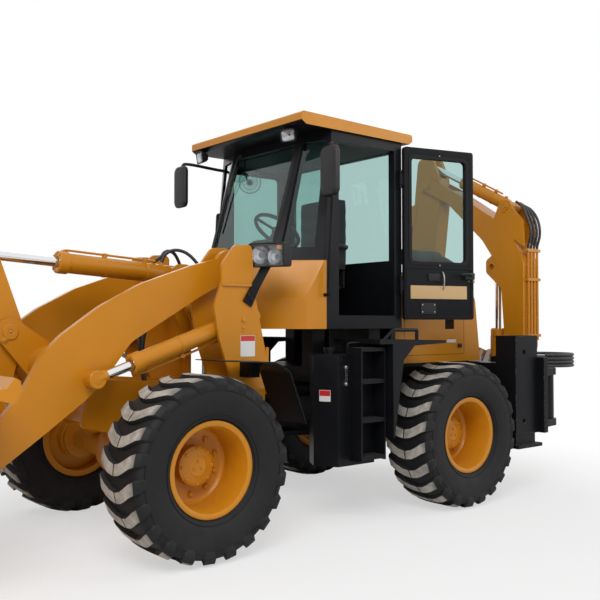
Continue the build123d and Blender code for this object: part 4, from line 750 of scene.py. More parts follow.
def smooth_curve(name, points, radius=0.0, roundness=3, parts=8):
    """A curve object that runs smoothly over its control points, as thick as its radius says."""
    line = bpy.data.curves.new(name, "CURVE")
    line.dimensions = "3D"
    line.bevel_depth = radius
    line.bevel_resolution = roundness
    line.use_fill_caps = True
    line.resolution_u = parts
    run = line.splines.new("NURBS")
    run.points.add(len(points) - 1)
    for spot, place in zip(run.points, points):
        spot.co = (*place, 1.0)
    run.order_u = 3
    run.use_endpoint_u = True
    return mesh_object(name, line)


def curve_mesh(carrier):
    """The plain mesh of a curve object; the curve goes."""
    bpy.context.view_layer.update()
    mesh = bpy.data.meshes.new_from_object(carrier.evaluated_get(bpy.context.evaluated_depsgraph_get()))
    line = carrier.data
    bpy.data.objects.remove(carrier)
    bpy.data.curves.remove(line)
    return mesh


def smooth_tube(points, radius, sides=12, finish=None):
    """A tube along a smooth line through space."""
    mesh = curve_mesh(smooth_curve("line", points, radius, max(1, sides // 4)))
    mesh.materials.clear()
    mesh.materials.append(finish)
    return mesh


def gland_bolt_ring(radius, along, start, end):
    bolt = hex_bolt(0.0072, 0.010, machine_yellow, washer=False)
    bolt.transform(Matrix.Translation((radius, 0, along)))
    ring = repeated("gland_bolts", bolt, ROUND_TREE, GLAND_BOLTS, (0, 0, tau / GLAND_BOLTS), machine_yellow)
    return aimed(ring, start, end)


tube_meshes, rod_meshes = {}, {}
for (
    name, body_r, rod_r, eye_r, pin_r, base_w, eye_w, body_end, base, eye, axis, tube_body, rod_body
) in CYLINDERS:
    reach = (Vector(eye) - Vector(base)).length
    tube_profile = [
        (0.030, 0.0), (0.030, body_r * 0.80), (0.060, body_r), (body_end - 0.072, body_r),
        (body_end - 0.068, body_r + 0.008), (body_end - 0.006, body_r + 0.008), (body_end, body_r + 0.003),
        (body_end, rod_r + 0.010), (body_end - 0.004, rod_r + 0.004), (body_end - 0.030, rod_r + 0.003),
        (body_end - 0.030, 0.0)
    ]
    parts = [
        aimed(lathe("tube", tube_profile, 40, finish=machine_yellow), base, eye),
        eye_ring(pin_r, eye_r, base_w, base, axis, finish=machine_yellow),
        gland_bolt_ring(body_r - 0.006, body_end - 0.004, base, eye)
    ]
    # Port bosses and the pipe that feeds the rod's end
    run = (Vector(eye) - Vector(base)).normalized()
    pin_way = Vector((1, 0, 0)) if axis == "X" else Vector((0, 1, 0))
    side = run.cross(pin_way).normalized()
    if name.startswith("lift"):
        side = -side if side.z > 0 else side
    elif name == "tilt":
        side = side if side.z > 0 else -side
    elif name == "boom":
        side = side if side.y < 0 else -side
    else:
        side = side if side.z > 0 or side.y < -0.5 else -side
    pipe_gap = body_r + 0.018
    start = Vector(base)
    for port in (0.105, body_end - 0.040):
        boss = lathe(
            "port",
            [(body_r - 0.01, 0), (body_r - 0.01, 0.017), (body_r + 0.014, 0.015), (body_r + 0.014, 0)], 16,
            finish=machine_yellow
        )
        foot = start + run * port
        parts.append(aimed(boss, foot, foot + side))
    pipe = [
        start + run * a + side * b
        for a, b in (
            (body_end - 0.040, body_r + 0.008), (body_end - 0.045, pipe_gap), (body_end - 0.12, pipe_gap),
            (0.30, pipe_gap), (0.16, pipe_gap)
        )
    ]
    parts.append(smooth_tube([tuple(p) for p in pipe], 0.008, 8, finish=machine_yellow))
    for clip in (0.24, body_end * 0.62):
        foot = start + run * clip
        band = lathe(
            "band",
            [
                (-0.009, body_r - 0.004), (-0.009, body_r + 0.003), (0.009, body_r + 0.003),
                (0.009, body_r - 0.004)
            ],
            40, finish=machine_yellow
        )
        parts.append(aimed(band, foot, foot + run))
        corner = foot + side * (pipe_gap - 0.004)
        parts.append(
            box_mesh(
                corner - Vector((0.014,) * 3), corner + Vector((0.014,) * 3), 0.004, finish=machine_yellow
            )
        )
    tube_meshes.setdefault(tube_body, []).append(joined(name + "_tube", parts))
    rod_profile = [
        (body_end - 0.020, 0.0), (body_end - 0.020, rod_r), (reach - eye_r * 0.75, rod_r),
        (reach - eye_r * 0.75, 0.0)
    ]
    neck_profile = [
        (reach - eye_r - 0.020, 0.0), (reach - eye_r - 0.020, rod_r + 0.002),
        (reach - eye_r + 0.004, rod_r + 0.009), (reach - 0.010, rod_r + 0.009), (reach - 0.010, 0.0)
    ]
    parts = [
        aimed(lathe("rod", rod_profile, 40, finish=chrome), base, eye),
        aimed(lathe("neck", neck_profile, 32, finish=machine_yellow), base, eye),
        eye_ring(pin_r * 0.4, eye_r, eye_w, eye, axis, finish=machine_yellow)
    ]
    # The pin's end plates
    for way in (1, -1):
        face = Vector(eye) + pin_way * (way * eye_w / 2)
        cap = lathe(
            "pin_cap",
            [(-0.010, 0), (-0.010, pin_r), (0.002, pin_r - 0.002), (0.003, pin_r * 0.6), (0.0032, 0)], 28,
            finish=machine_yellow
        )
        parts.append(aimed(cap, face, face + pin_way * way))
    rod_meshes.setdefault(rod_body, []).append(joined(name + "_rod", parts))
TUBE_NODES = {
    "lift_tubes": "lift_barrels", "tilt_tube": "tilt_barrel", "boom_tube": "boom_barrel",
    "stick_tube": "stick_barrel", "hoe_bucket_tube": "hoe_bucket_barrel"
}
ROD_NODES = {
    "lift_pistons": "lift_rods", "tilt_piston": "tilt_rod", "boom_piston": "boom_rod",
    "stick_piston": "stick_rod", "hoe_bucket_piston": "hoe_bucket_rod"
}
for body, meshes in tube_meshes.items():
    stands_for(
        TUBE_NODES[body] + "_steel", shaded(joined(body, meshes)), body, "yellow_paint", TUBE_NODES[body]
    )
for body, meshes in rod_meshes.items():
    stands_for(
        ROD_NODES[body] + "_chromed", shaded(joined(body, meshes)), body, "chrome_rod", ROD_NODES[body]
    )


# Cab frame: folded and welded sheet round square tube posts, hollow, sprayed satin black. The
# cowl in front of the posts and under the windscreen is sprayed yellow like the bonnet.
COWL_REAR_X = REAR_AXLE_X + 1.130
COWL_TOP_Z = 1.865


def from_rear(x, y, z):
    """A point given from the rear axle."""
    return (REAR_AXLE_X + x, y, z)


CAB_MIDDLE = Vector(from_rear(0.75, 0.0, 1.6))
work = merged_copy("cab_frame")
for plane_point, plane_normal in (((COWL_REAR_X, 0, 0), (1, 0, 0)), ((0, 0, COWL_TOP_Z), (0, 0, 1))):
    bmesh.ops.bisect_plane(
        work, geom=work.verts[:] + work.edges[:] + work.faces[:], plane_co=plane_point, plane_no=plane_normal
    )
worn_rounds(work, sharp_edges(work, 20), 0.006)
for face in work.faces:
    middle = face.calc_center_median()
    outside = face.normal.dot(middle - CAB_MIDDLE) > 0
    if middle.x > COWL_REAR_X and middle.z < COWL_TOP_Z and outside:
        face.material_index = 1
cab_mesh = mesh_from(work, "cab_frame_plates", satin_black)
cab_mesh.materials.append(machine_yellow)
weighted(stands_for("cab_frame_plates", shaded(cab_mesh, 25.0), "chassis", "black_paint", "cab_frame"))

# Cab glass: safety glass tinted green, in the windscreen, the rear and side windows and in both
# doors. The panes of the doors ride on the doors.


def clear_material(name, colour, roughness, bending):
    made, _, _, shader = new_material(name)
    shader.inputs["Base Color"].default_value = colour
    shader.inputs["Roughness"].default_value = roughness
    shader.inputs["IOR"].default_value = bending
    shader.inputs["Transmission Weight"].default_value = 1.0
    return made


tinted_glass = clear_material("tinted_glass", (0.41, 0.60, 0.57, 1.0), 0.0, 1.45)
for node, body in (
    ("cab_glass", "chassis"), ("door_glass_left", "left_door"), ("door_glass_right", "right_door")
):
    weighted(stands_for(node + "_pane", dressed_plates(node, 0.001, tinted_glass), body, "glass", node))


# Cab roof: one pressed plate with a thick rolled edge, yellow above and black underneath. Two work
# lamps hang from its front overhang on small brackets.
HOUSING_STEPS = 5
roof_mesh = dressed_plates("cab_roof", 0.010, machine_yellow)
roof_mesh.materials.append(satin_black)
for face in roof_mesh.polygons:
    if face.normal.z < -0.25:
        face.material_index = 1
weighted(stands_for("cab_roof_plate", roof_mesh, "chassis", "yellow_paint", "cab_roof"))
clear_lens = clear_material("clear_lens", (0.95, 0.97, 0.98, 1.0), 0.02, 1.49)
reflector_chrome = finish_material(
    "reflector_chrome", (0.50, 0.51, 0.53), 0.24, 0.0, 0.0, metallic=1.0, bump=0.0002
)
moulded_black = finish_material(
    "moulded_black", (0.009, 0.009, 0.010), 0.48, 0.08, 0.1, bump=0.0005, shine=0.35
)


def rounded_loop(width, height, radius, steps=HOUSING_STEPS):
    """Points round a rectangle with rounded corners, about its middle."""
    points = []
    for turn, (sx, sy) in enumerate(((1, 1), (-1, 1), (-1, -1), (1, -1))):
        for i in range(steps + 1):
            angle = radians(90 * turn + 90 * i / steps)
            points.append((
                sx * (width / 2 - radius) + radius * cos(angle),
                sy * (height / 2 - radius) + radius * sin(angle)
            ))
    return points


def skin(name, rings, finish, joined_ends=False, capped=True):
    """A surface over rings of the same number of points."""
    work = bmesh.new()
    rows = [[work.verts.new(point) for point in ring] for ring in rings]
    pairs = list(zip(rows, rows[1:]))
    if joined_ends:
        pairs.append((rows[-1], rows[0]))
    for one, two in pairs:
        for i in range(len(one)):
            j = (i + 1) % len(one)
            work.faces.new((one[i], one[j], two[j], two[i]))
    if capped and not joined_ends:
        work.faces.new(rows[0])
        work.faces.new(rows[-1])
    bmesh.ops.recalc_face_normals(work, faces=work.faces)
    return mesh_from(work, name, finish)


def housing(name, stations, finish, capped=True):
    """A moulded shell from stations of (width, height, corner radius, depth)."""
    rings = [
        [(x, y, depth) for x, y in rounded_loop(width, height, radius)]
        for width, height, radius, depth in stations
    ]
    return skin(name, rings, finish, capped=capped)


def facing(place, ahead, up=(0, 0, 1)):
    """A place whose own Z looks ahead and whose own Y looks up."""
    out = Vector(ahead).normalized()
    across = Vector(up).cross(out).normalized()
    turn = Matrix((across, out.cross(across), out)).transposed().to_4x4()
    return Matrix.Translation(place) @ turn


def set_at(matrix, *meshes):
    for mesh in meshes:
        mesh.transform(matrix)
    return list(meshes)


def cut_plate(outline, low, high, axis, finish, edge=0.003):
    """A plate cut to an outline of (across, up), between two faces along an axis."""
    work = bmesh.new()
    rows = []
    for along in sorted((low, high)):
        spots = [{"Y": (x, along, z), "X": (along, x, z), "Z": (x, z, along)}[axis] for x, z in outline]
        rows.append([work.verts.new(spot) for spot in spots])
    for i in range(len(outline)):
        j = (i + 1) % len(outline)
        work.faces.new((rows[0][i], rows[0][j], rows[1][j], rows[1][i]))
    work.faces.new(rows[0])
    work.faces.new(rows[1])
    bmesh.ops.recalc_face_normals(work, faces=work.faces)
    rounded_edges(work, work.edges[:], edge)
    return mesh_from(work, "plate", finish)


def bowl(radius, depth, finish):
    profile = [
        (-depth, 0.0), (-depth, radius * 0.22), (-depth * 0.86, radius * 0.45), (-depth * 0.5, radius * 0.78),
        (0.0, radius), (0.002, radius + 0.003), (-0.002, radius + 0.003)
    ]
    return lathe("bowl", profile, 28, closed=False, finish=finish)


WORK_LAMPS = [
    # place, direction that it shines
    (from_rear(1.360, -0.600, 2.775), (0.95, -0.2, -0.15)),
    (from_rear(1.330, 0.510, 2.770), (0.92, 0.3, -0.2)),
]
lamp_parts = []
for place, way in WORK_LAMPS:
    parts = [
        housing(
            "lamp_shell",
            [
                (0.06, 0.05, 0.015, -0.045), (0.105, 0.075, 0.02, -0.025), (0.125, 0.092, 0.02, 0.012),
                (0.128, 0.095, 0.02, 0.022), (0.116, 0.083, 0.018, 0.022), (0.110, 0.078, 0.018, -0.004)
            ],
            moulded_black
        ),
        housing(
            "lamp_mirror",
            [(0.108, 0.076, 0.018, 0.016), (0.080, 0.055, 0.018, 0.004), (0.010, 0.008, 0.003, -0.002)],
            reflector_chrome, capped=False
        ),
        housing(
            "lamp_lens",
            [(0.113, 0.080, 0.018, 0.015), (0.108, 0.075, 0.018, 0.020), (0.06, 0.04, 0.015, 0.023)],
            clear_lens
        )
    ]
    lamp_parts += set_at(facing(place, way), *parts)
    stem_top = (place[0] - 0.02, place[1], 2.835)
    lamp_parts.append(
        smooth_tube([place, (place[0] - 0.03, place[1], 2.80), stem_top], 0.009, 8, finish=moulded_black)
    )
stands_for("roof_work_lamps", shaded(joined("roof_work_lamps", lamp_parts)), "chassis", "black_paint")

# Headlamps: moulded black housings with a recessed mirror, two bulbs and a clear lens, each on a
# slanted bracket that is bolted to the outside of its tower.
amber_lens = finish_material("amber_lens", (0.85, 0.22, 0.02), 0.15, 0.05, 0.0, coat=0.6, bump=0.0002)
lamp_grey = finish_material("lamp_grey", (0.16, 0.16, 0.165), 0.22, 0.0, 0.0, metallic=0.9, bump=0.0002)
LAMP_BRACKET = [
    # ahead of the front axle, height
    (-0.480, 1.560), (-0.570, 1.700), (-0.640, 1.810), (-0.720, 1.810), (-0.620, 1.660), (-0.545, 1.520),
]
headlamp_parts = []
for side in (1, -1):
    headlamp_parts.append(
        cut_plate(
            [(FRONT_AXLE_X + x, z) for x, z in LAMP_BRACKET], side * 0.688, side * 0.702, "Y", satin_black
        )
    )
    for x, z in ((-0.545, 1.565), (-0.515, 1.600)):
        bolt = hex_bolt(0.010, 0.009, satin_black, "Y")
        if side < 0:
            bolt.transform(Matrix.Rotation(pi, 4, "X"))
        bolt.transform(Matrix.Translation((FRONT_AXLE_X + x, side * 0.701, z)))
        headlamp_parts.append(bolt)
    centre = (FRONT_AXLE_X - 0.665, side * 0.745, 1.868)
    shell = housing(
        "headlamp_shell",
        [
            (0.200, 0.120, 0.02, -0.085), (0.256, 0.152, 0.02, -0.070), (0.268, 0.162, 0.018, 0.030),
            (0.270, 0.164, 0.018, 0.055), (0.262, 0.156, 0.016, 0.060), (0.248, 0.142, 0.014, 0.058),
            (0.242, 0.136, 0.014, 0.004)
        ],
        moulded_black
    )
    mirror = housing(
        "headlamp_mirror",
        [(0.244, 0.138, 0.014, 0.048), (0.224, 0.120, 0.02, 0.012), (0.020, 0.010, 0.004, 0.008)], lamp_grey,
        capped=False
    )
    pod = [shell, mirror]
    for across, up, radius in ((-side * 0.052, 0.002, 0.056), (side * 0.056, -0.012, 0.046)):
        bulb_bowl = bowl(radius, 0.034, reflector_chrome)
        bulb_bowl.transform(Matrix.Translation((across, up, 0.040)))
        bulb = lathe(
            "bulb", [(0.008, 0.0), (0.008, 0.009), (0.026, 0.008), (0.032, 0.0)], 16,
            centre=(across, up, 0.0), finish=clear_lens
        )
        pod += [bulb_bowl, bulb]
    turn_lamp = housing(
        "turn_lamp",
        [(0.030, 0.026, 0.008, 0.040), (0.030, 0.026, 0.008, 0.050), (0.022, 0.018, 0.006, 0.053)], amber_lens
    )
    turn_lamp.transform(Matrix.Translation((side * 0.090, 0.046, 0.0)))
    lens = housing(
        "headlamp_lens",
        [
            (0.247, 0.141, 0.014, 0.054), (0.244, 0.138, 0.014, 0.059), (0.160, 0.090, 0.014, 0.065),
            (0.05, 0.03, 0.01, 0.067)
        ],
        clear_lens
    )
    headlamp_parts += set_at(facing(centre, (0.90, side * 0.43, 0.0)), *pod, turn_lamp, lens)
stands_for(
    "headlamps_moulded", shaded(joined("headlamps_moulded", headlamp_parts)), "front_body", "black_paint",
    "headlamps"
)

# Doors: a folded steel frame with a round-cornered window in a rubber seal. The left one stands
# open and shows its lining, a tan plate, the latch with its bar and the plate of the lock.
HINGE_PLACE = (REAR_AXLE_X + 0.380, 0.714)
DOOR_OPEN = radians(164.0)
DOOR_LOW, DOOR_HIGH = (0.018, 1.440), (0.660, 2.785)
PANE_LOW, PANE_HIGH = (0.070, 1.880), (0.600, 2.715)
DOOR_HALF_THICKNESS = 0.019
seal_rubber = finish_material("seal_rubber", (0.008, 0.008, 0.008), 0.7, 0.05, 0.0, shine=0.25)
tan_plate = finish_material("tan_plate", (0.55, 0.36, 0.17), 0.42, 0.12, 0.3)


def grown(low, high, by):
    """Two opposite corners moved outwards."""
    return tuple(value - by for value in low), tuple(value + by for value in high)


def framed(name, outer, outer_radius, inner, inner_radius, low, high, finish, edge=0.003):
    """A flat frame between two upright loops, given as (low corner, high corner)."""
    loops = []
    for (low_at, high_at), radius in ((outer, outer_radius), (inner, inner_radius)):
        width, height = high_at[0] - low_at[0], high_at[1] - low_at[1]
        middle = ((high_at[0] + low_at[0]) / 2, (high_at[1] + low_at[1]) / 2)
        loops.append([(x + middle[0], z + middle[1]) for x, z in rounded_loop(width, height, radius)])
    rings = [
        [(x, depth, z) for x, z in loop]
        for loop, depth in ((loops[0], low), (loops[1], low), (loops[1], high), (loops[0], high))
    ]
    made = skin(name, rings, finish, joined_ends=True)
    work = bmesh.new()
    work.from_mesh(made)
    sharp = [e for e in work.edges if e.calc_face_angle(0.0) > radians(50)]
    rounded_edges(work, sharp, edge)
    work.to_mesh(made)
    work.free()
    return made


def door_meshes():
    """The closed left door about its hinge line, with the inside towards -Y."""
    inside = -DOOR_HALF_THICKNESS
    parts = [
        framed("door_frame", (DOOR_LOW, DOOR_HIGH), 0.022, (PANE_LOW, PANE_HIGH), 0.045, inside, -inside,
               satin_black),
        framed("door_seal", grown(PANE_LOW, PANE_HIGH, 0.012), 0.050,
               grown(PANE_LOW, PANE_HIGH, -0.014), 0.034, -0.0235, 0.0235, seal_rubber, 0.004),
        # Raised rib round the panel and the tan plate
        framed("door_rib", ((0.032, 1.455), (0.646, 1.850)), 0.02, ((0.046, 1.469), (0.632, 1.836)), 0.014,
               inside - 0.004, inside + 0.003, satin_black, 0.0015),
        box_mesh((0.070, inside - 0.007, 1.602), (0.590, inside + 0.002, 1.706), 0.003, finish=tan_plate),
        box_mesh((0.160, inside - 0.006, 1.485), (0.300, inside + 0.002, 1.570), 0.003, finish=moulded_black),
        # Latch case, its bar and the catch at the edge
        box_mesh((0.230, inside - 0.010, 1.745), (0.340, inside + 0.002, 1.800), 0.004, finish=moulded_black),
        box_mesh((0.560, inside - 0.034, 1.760), (0.650, inside + 0.002, 1.812), 0.008, 3,
                 finish=moulded_black),
        box_mesh((0.600, inside, 1.735), (0.672, 0.012, 1.760), 0.004, finish=bolt_steel),
    ]
    parts.append(smooth_tube(
        [
            (0.360, inside - 0.004, 1.815), (0.360, inside - 0.03, 1.80), (0.362, inside - 0.03, 1.70),
            (0.364, inside - 0.004, 1.675)
        ],
        0.006, 8, finish=bolt_steel
    ))
    parts.append(smooth_tube(
        [
            (0.620, inside - 0.03, 1.79), (0.60, inside - 0.065, 1.80), (0.54, inside - 0.070, 1.80),
            (0.50, inside - 0.060, 1.795)
        ],
        0.009, 8, finish=moulded_black
    ))
    # Outside handle in its cup
    parts.append(smooth_tube(
        [(0.60, 0.014, 1.80), (0.595, 0.055, 1.80), (0.585, 0.058, 1.68), (0.59, 0.014, 1.66)], 0.009, 8,
        finish=moulded_black
    ))
    for x, z in (
        (0.175, 1.500), (0.285, 1.500), (0.175, 1.555), (0.285, 1.555), (0.335, 1.866), (0.335, 2.730)
    ):
        bolt = hex_bolt(0.006, 0.005, bolt_steel, "Y", washer=False)
        bolt.transform(Matrix.Translation((x, inside - 0.006, z)) @ Matrix.Rotation(pi, 4, "X"))
        parts.append(bolt)
    for low_z in (1.660, 2.485):
        knuckle = [
            (low_z, 0.0082), (low_z, 0.0125), (low_z + 0.0015, 0.014), (low_z + 0.0885, 0.014),
            (low_z + 0.090, 0.0125), (low_z + 0.090, 0.0082)
        ]
        parts.append(lathe("knuckle", knuckle, 20, finish=satin_black))
        parts.append(box_mesh((0.004, -0.009, low_z), (0.06, 0.009, low_z + 0.09), 0.002, finish=satin_black))
    return parts


left_door = joined("door_left_steel", door_meshes())
right_door = left_door.copy()
left_door.transform(Matrix.Translation((*HINGE_PLACE, 0)) @ Matrix.Rotation(DOOR_OPEN, 4, "Z"))
right_door.transform(
    Matrix.Translation((HINGE_PLACE[0], -HINGE_PLACE[1], 0)) @ Matrix.Diagonal((1, -1, 1, 1))
)
right_door.flip_normals()
stands_for("door_left_steel", shaded(left_door), "left_door", "black_paint", "door_left")
stands_for("door_right_steel", shaded(right_door), "right_door", "black_paint", "door_right")

# Mirrors: moulded shells on bent tube arms, with their glass set back in a lip. The grab rails on
# the posts of the cab are bent from the same tube.
MIRRORS = [
    # ahead of the rear axle, across, height of the middle
    (1.260, 0.870, 2.470), (1.400, -0.860, 2.560),
]
mirror_face, _, _, mirror_shader = new_material("mirror_face")
mirror_shader.inputs["Base Color"].default_value = (0.78, 0.82, 0.84, 1.0)
mirror_shader.inputs["Metallic"].default_value = 1.0
mirror_shader.inputs["Roughness"].default_value = 0.04
mirror_parts = []
for ahead, across, height in MIRRORS:
    side = 1 if across > 0 else -1
    place = from_rear(ahead, across, height)
    shell = housing(
        "mirror_shell",
        [
            (0.150, 0.320, 0.035, -0.014), (0.152, 0.322, 0.035, -0.019), (0.170, 0.340, 0.042, -0.019),
            (0.180, 0.350, 0.046, -0.008), (0.178, 0.348, 0.046, 0.006), (0.160, 0.330, 0.044, 0.016),
            (0.110, 0.280, 0.040, 0.020)
        ],
        moulded_black
    )
    glass = housing(
        "mirror_glass", [(0.153, 0.323, 0.035, -0.013), (0.152, 0.322, 0.035, -0.016)], mirror_face
    )
    mirror_parts += set_at(facing(place, (1, 0, 0)), shell, glass)
    post = side * 0.645
    rail = side * 0.735
    runs = [
        [
            (1.060, post, 2.700), (1.100, side * 0.72, 2.715),
            (ahead - 0.05, across - side * 0.03, height + 0.20), (ahead - 0.005, across, height + 0.19),
            (ahead - 0.005, across, height + 0.10)
        ],
        [
            (1.149, post, 1.615), (1.149, rail - side * 0.02, 1.615), (1.149, rail, 1.615),
            (1.147, rail, 1.66), (1.130, rail, 1.98), (1.113, rail, 2.29), (1.111, rail, 2.335),
            (1.111, rail - side * 0.02, 2.335), (1.111, post, 2.335)
        ]
    ]
    for run in runs:
        mirror_parts.append(smooth_tube([from_rear(*spot) for spot in run], 0.013, 12, finish=satin_black))
    clamp = lathe(
        "clamp", [(-0.03, 0.012), (-0.03, 0.021), (0.03, 0.021), (0.03, 0.012)], 20,
        centre=(place[0] - 0.005, across, height + 0.12), finish=moulded_black
    )
    mirror_parts.append(clamp)
stands_for(
    "mirrors_and_rails_tube", shaded(joined("mirrors", mirror_parts)), "chassis", "black_paint",
    "mirrors_and_rails"
)

# Exhaust: a banded muffler on two stands with its bent tail pipe, and the amber warning lamp that
# stands on the hood behind it.
sooty_steel = finish_material("sooty_steel", (0.030, 0.028, 0.026), 0.62, 0.4, 0.3, metallic=0.3, bump=0.001)
muffler_profile = [
    (-0.520, 0.0), (-0.520, 0.040), (-0.516, 0.056), (-0.508, 0.064), (-0.500, 0.066), (-0.400, 0.0655),
    (-0.398, 0.0685), (-0.380, 0.0685), (-0.378, 0.0655), (-0.190, 0.0655), (-0.188, 0.0685),
    (-0.170, 0.0685), (-0.168, 0.0655), (-0.070, 0.066), (-0.062, 0.064), (-0.054, 0.056), (-0.050, 0.040),
    (-0.050, 0.0)
]
exhaust_parts = [
    lathe("muffler", muffler_profile, 36, axis="X", centre=(REAR_AXLE_X, 0.300, 1.975), finish=sooty_steel),
    smooth_tube(
        [
            from_rear(-0.480, 0.300, 1.975), from_rear(-0.560, 0.310, 1.975), from_rear(-0.610, 0.335, 1.950),
            from_rear(-0.700, 0.380, 1.890)
        ],
        0.033, 20, finish=sooty_steel
    )
]
for stand_x in (-0.120, -0.440):
    exhaust_parts.append(box_mesh(
        from_rear(stand_x - 0.015, 0.270, 1.831), from_rear(stand_x + 0.015, 0.330, 1.925), 0.003,
        finish=satin_black
    ))
    exhaust_parts.append(box_mesh(
        from_rear(stand_x - 0.030, 0.245, 1.8305), from_rear(stand_x + 0.030, 0.355, 1.838), 0.002,
        finish=satin_black
    ))
lamp_x = REAR_AXLE_X - 0.505
exhaust_parts += [
    lathe(
        "lamp_base", [(1.795, 0.0), (1.795, 0.041), (1.846, 0.041), (1.852, 0.036), (1.852, 0.0)], 32,
        centre=(lamp_x, 0.400, 0), finish=moulded_black
    ),
    lathe(
        "lamp_dome",
        [(1.851, 0.0), (1.851, 0.037), (1.880, 0.036), (1.896, 0.028), (1.903, 0.014), (1.905, 0.0)], 32,
        centre=(lamp_x, 0.400, 0), finish=amber_lens
    )
]
stands_for(
    "exhaust_and_lamp_steel", shaded(joined("exhaust", exhaust_parts)), "chassis", "black_paint",
    "exhaust_and_lamp"
)

# Operator's seat: vinyl cushions with sewn channels on moulded shells, with two padded arm rests.
# It stands on a suspension box that a folded rubber gaiter covers.
seat_vinyl = finish_material("seat_vinyl", (0.030, 0.030, 0.033), 0.46, 0.10, 0.0, bump=0.0006)
CUSHION_CUTS = 22
CHANNEL_HALF_WIDTH = 0.09
CHANNEL_DEPTH = 0.012


def cushion(name, low, high, crown_axis, channels):
    """A padded block: crowned faces, sides pulled in at the corners, sewn channels across."""
    work = bmesh.new()
    bmesh.ops.create_cube(work, size=2.0)
    bmesh.ops.subdivide_edges(work, edges=work.edges[:], cuts=CUSHION_CUTS, use_grid_fill=True)
    middle, half = (Vector(high) + Vector(low)) / 2, (Vector(high) - Vector(low)) / 2
    thin = min(half)
    for vert in work.verts:
        spot = vert.co.copy()
        reach = [abs(value) for value in spot]
        swell = prod(1 - 0.16 * value ** 4 for value in reach)
        level = 1.0 / max(1e-6, sum(value ** 7 for value in reach) ** (1 / 7)) * max(reach)
        place = Vector([spot[i] * half[i] for i in range(3)])
        place += Vector([spot[i] * (level - 1.0) * min(half[i], thin * 1.5) for i in range(3)])
        along = max(i for i in range(3) if i != crown_axis)
        for channel in channels:
            gap = abs(spot[along] - channel)
            if gap < CHANNEL_HALF_WIDTH and reach[crown_axis] > 0.8:
                place[crown_axis] -= spot[crown_axis] * CHANNEL_DEPTH * (1 - gap / CHANNEL_HALF_WIDTH)
        place[crown_axis] *= 0.90 + 0.10 * swell
        vert.co = middle + place
    return shaded(mesh_from(work, name, seat_vinyl), 60)


seat_cushion = cushion(
    "seat_cushion", from_rear(0.590, -0.245, 1.705), from_rear(0.995, 0.245, 1.825), 2, (-0.35, 0.35)
)
seat_back = cushion(
    "seat_back", from_rear(0.505, -0.235, 1.84), from_rear(0.615, 0.235, 2.415), 0, (-0.3, 0.1, 0.5)
)
stands_for("seat_cushion", seat_cushion, "chassis", "seat")
stands_for("seat_back", seat_back, "chassis", "seat")
gaiter = [(1.452, 0.0), (1.452, 0.165)]
for fold in range(6):
    gaiter += [(1.480 + 0.030 * fold, 0.165), (1.495 + 0.030 * fold, 0.140)]
gaiter += [(1.665, 0.165), (1.690, 0.165), (1.690, 0.0)]
seat_parts = [
    lathe("gaiter", gaiter, 4, centre=from_rear(0.730, 0, 0), finish=seal_rubber),
    box_mesh(from_rear(0.570, -0.235, 1.685), from_rear(0.985, 0.235, 1.712), 0.008, finish=moulded_black),
    box_mesh(from_rear(0.500, -0.205, 1.700), from_rear(0.520, 0.205, 2.380), 0.008, finish=moulded_black)
]
for side in (1, -1):
    seat_parts.append(smooth_tube(
        [
            from_rear(0.54, side * 0.262, 2.02), from_rear(0.60, side * 0.270, 2.03),
            from_rear(0.78, side * 0.270, 2.02), from_rear(0.84, side * 0.268, 2.01)
        ],
        0.021, 16, finish=seat_vinyl
    ))
stands_for(
    "operator_seat_frame", shaded(joined("seat_frame", seat_parts), 50), "chassis", "seat", "operator_seat"
)

# Control console: a moulded column with the instrument pod, the steering wheel on its shaft, the
# lamp switch stalk and the row of valve levers with their knobs.
WHEEL_RADIUS = 0.190
console_plastic = finish_material("console_plastic", (0.035, 0.036, 0.038), 0.55, 0.15, 0.1, bump=0.0006)
console_parts = []
column = [
    (0.110, 0.280, 0.02, 0.0), (0.100, 0.270, 0.02, 0.10), (0.080, 0.200, 0.02, 0.34),
    (0.085, 0.230, 0.02, 0.46), (0.120, 0.300, 0.03, 0.52), (0.130, 0.310, 0.03, 0.585),
    (0.090, 0.260, 0.03, 0.610)
]
column_mesh = housing("column", column, console_plastic)
column_mesh.transform(Matrix.Translation(from_rear(1.145, 0.0, 1.4505)))
console_parts.append(column_mesh)
wheel_matrix = Matrix.Translation(from_rear(1.040, 0.0, 2.140)) @ Matrix.Rotation(radians(-37), 4, "Y")
grip = [(0.016 * cos(tau * i / 12), WHEEL_RADIUS + 0.014 * sin(tau * i / 12)) for i in range(12)]
wheel_parts = [lathe("grip", grip, 56, finish=console_plastic)]
for spoke in range(3):
    arm = box_mesh(
        (0.030, -0.015, -0.006), (WHEEL_RADIUS - 0.008, 0.015, 0.004), 0.003, finish=console_plastic
    )
    arm.transform(Matrix.Rotation(tau * spoke / 3 + pi / 2, 4, "Z"))
    wheel_parts.append(arm)
wheel_parts.append(lathe(
    "boss", [(-0.04, 0.0), (-0.04, 0.028), (-0.01, 0.040), (0.006, 0.042), (0.014, 0.034), (0.017, 0.0)], 32,
    finish=console_plastic
))
console_parts += set_at(wheel_matrix, *wheel_parts)
console_parts.append(smooth_tube(
    [from_rear(1.125, 0.0, 2.030), from_rear(1.090, 0.0, 2.075), from_rear(1.050, 0.0, 2.128)], 0.024, 20,
    finish=console_plastic
))
console_parts.append(smooth_tube(
    [from_rear(1.110, 0.02, 2.050), from_rear(1.095, 0.12, 2.080), from_rear(1.085, 0.185, 2.090)], 0.006, 8,
    finish=console_plastic
))
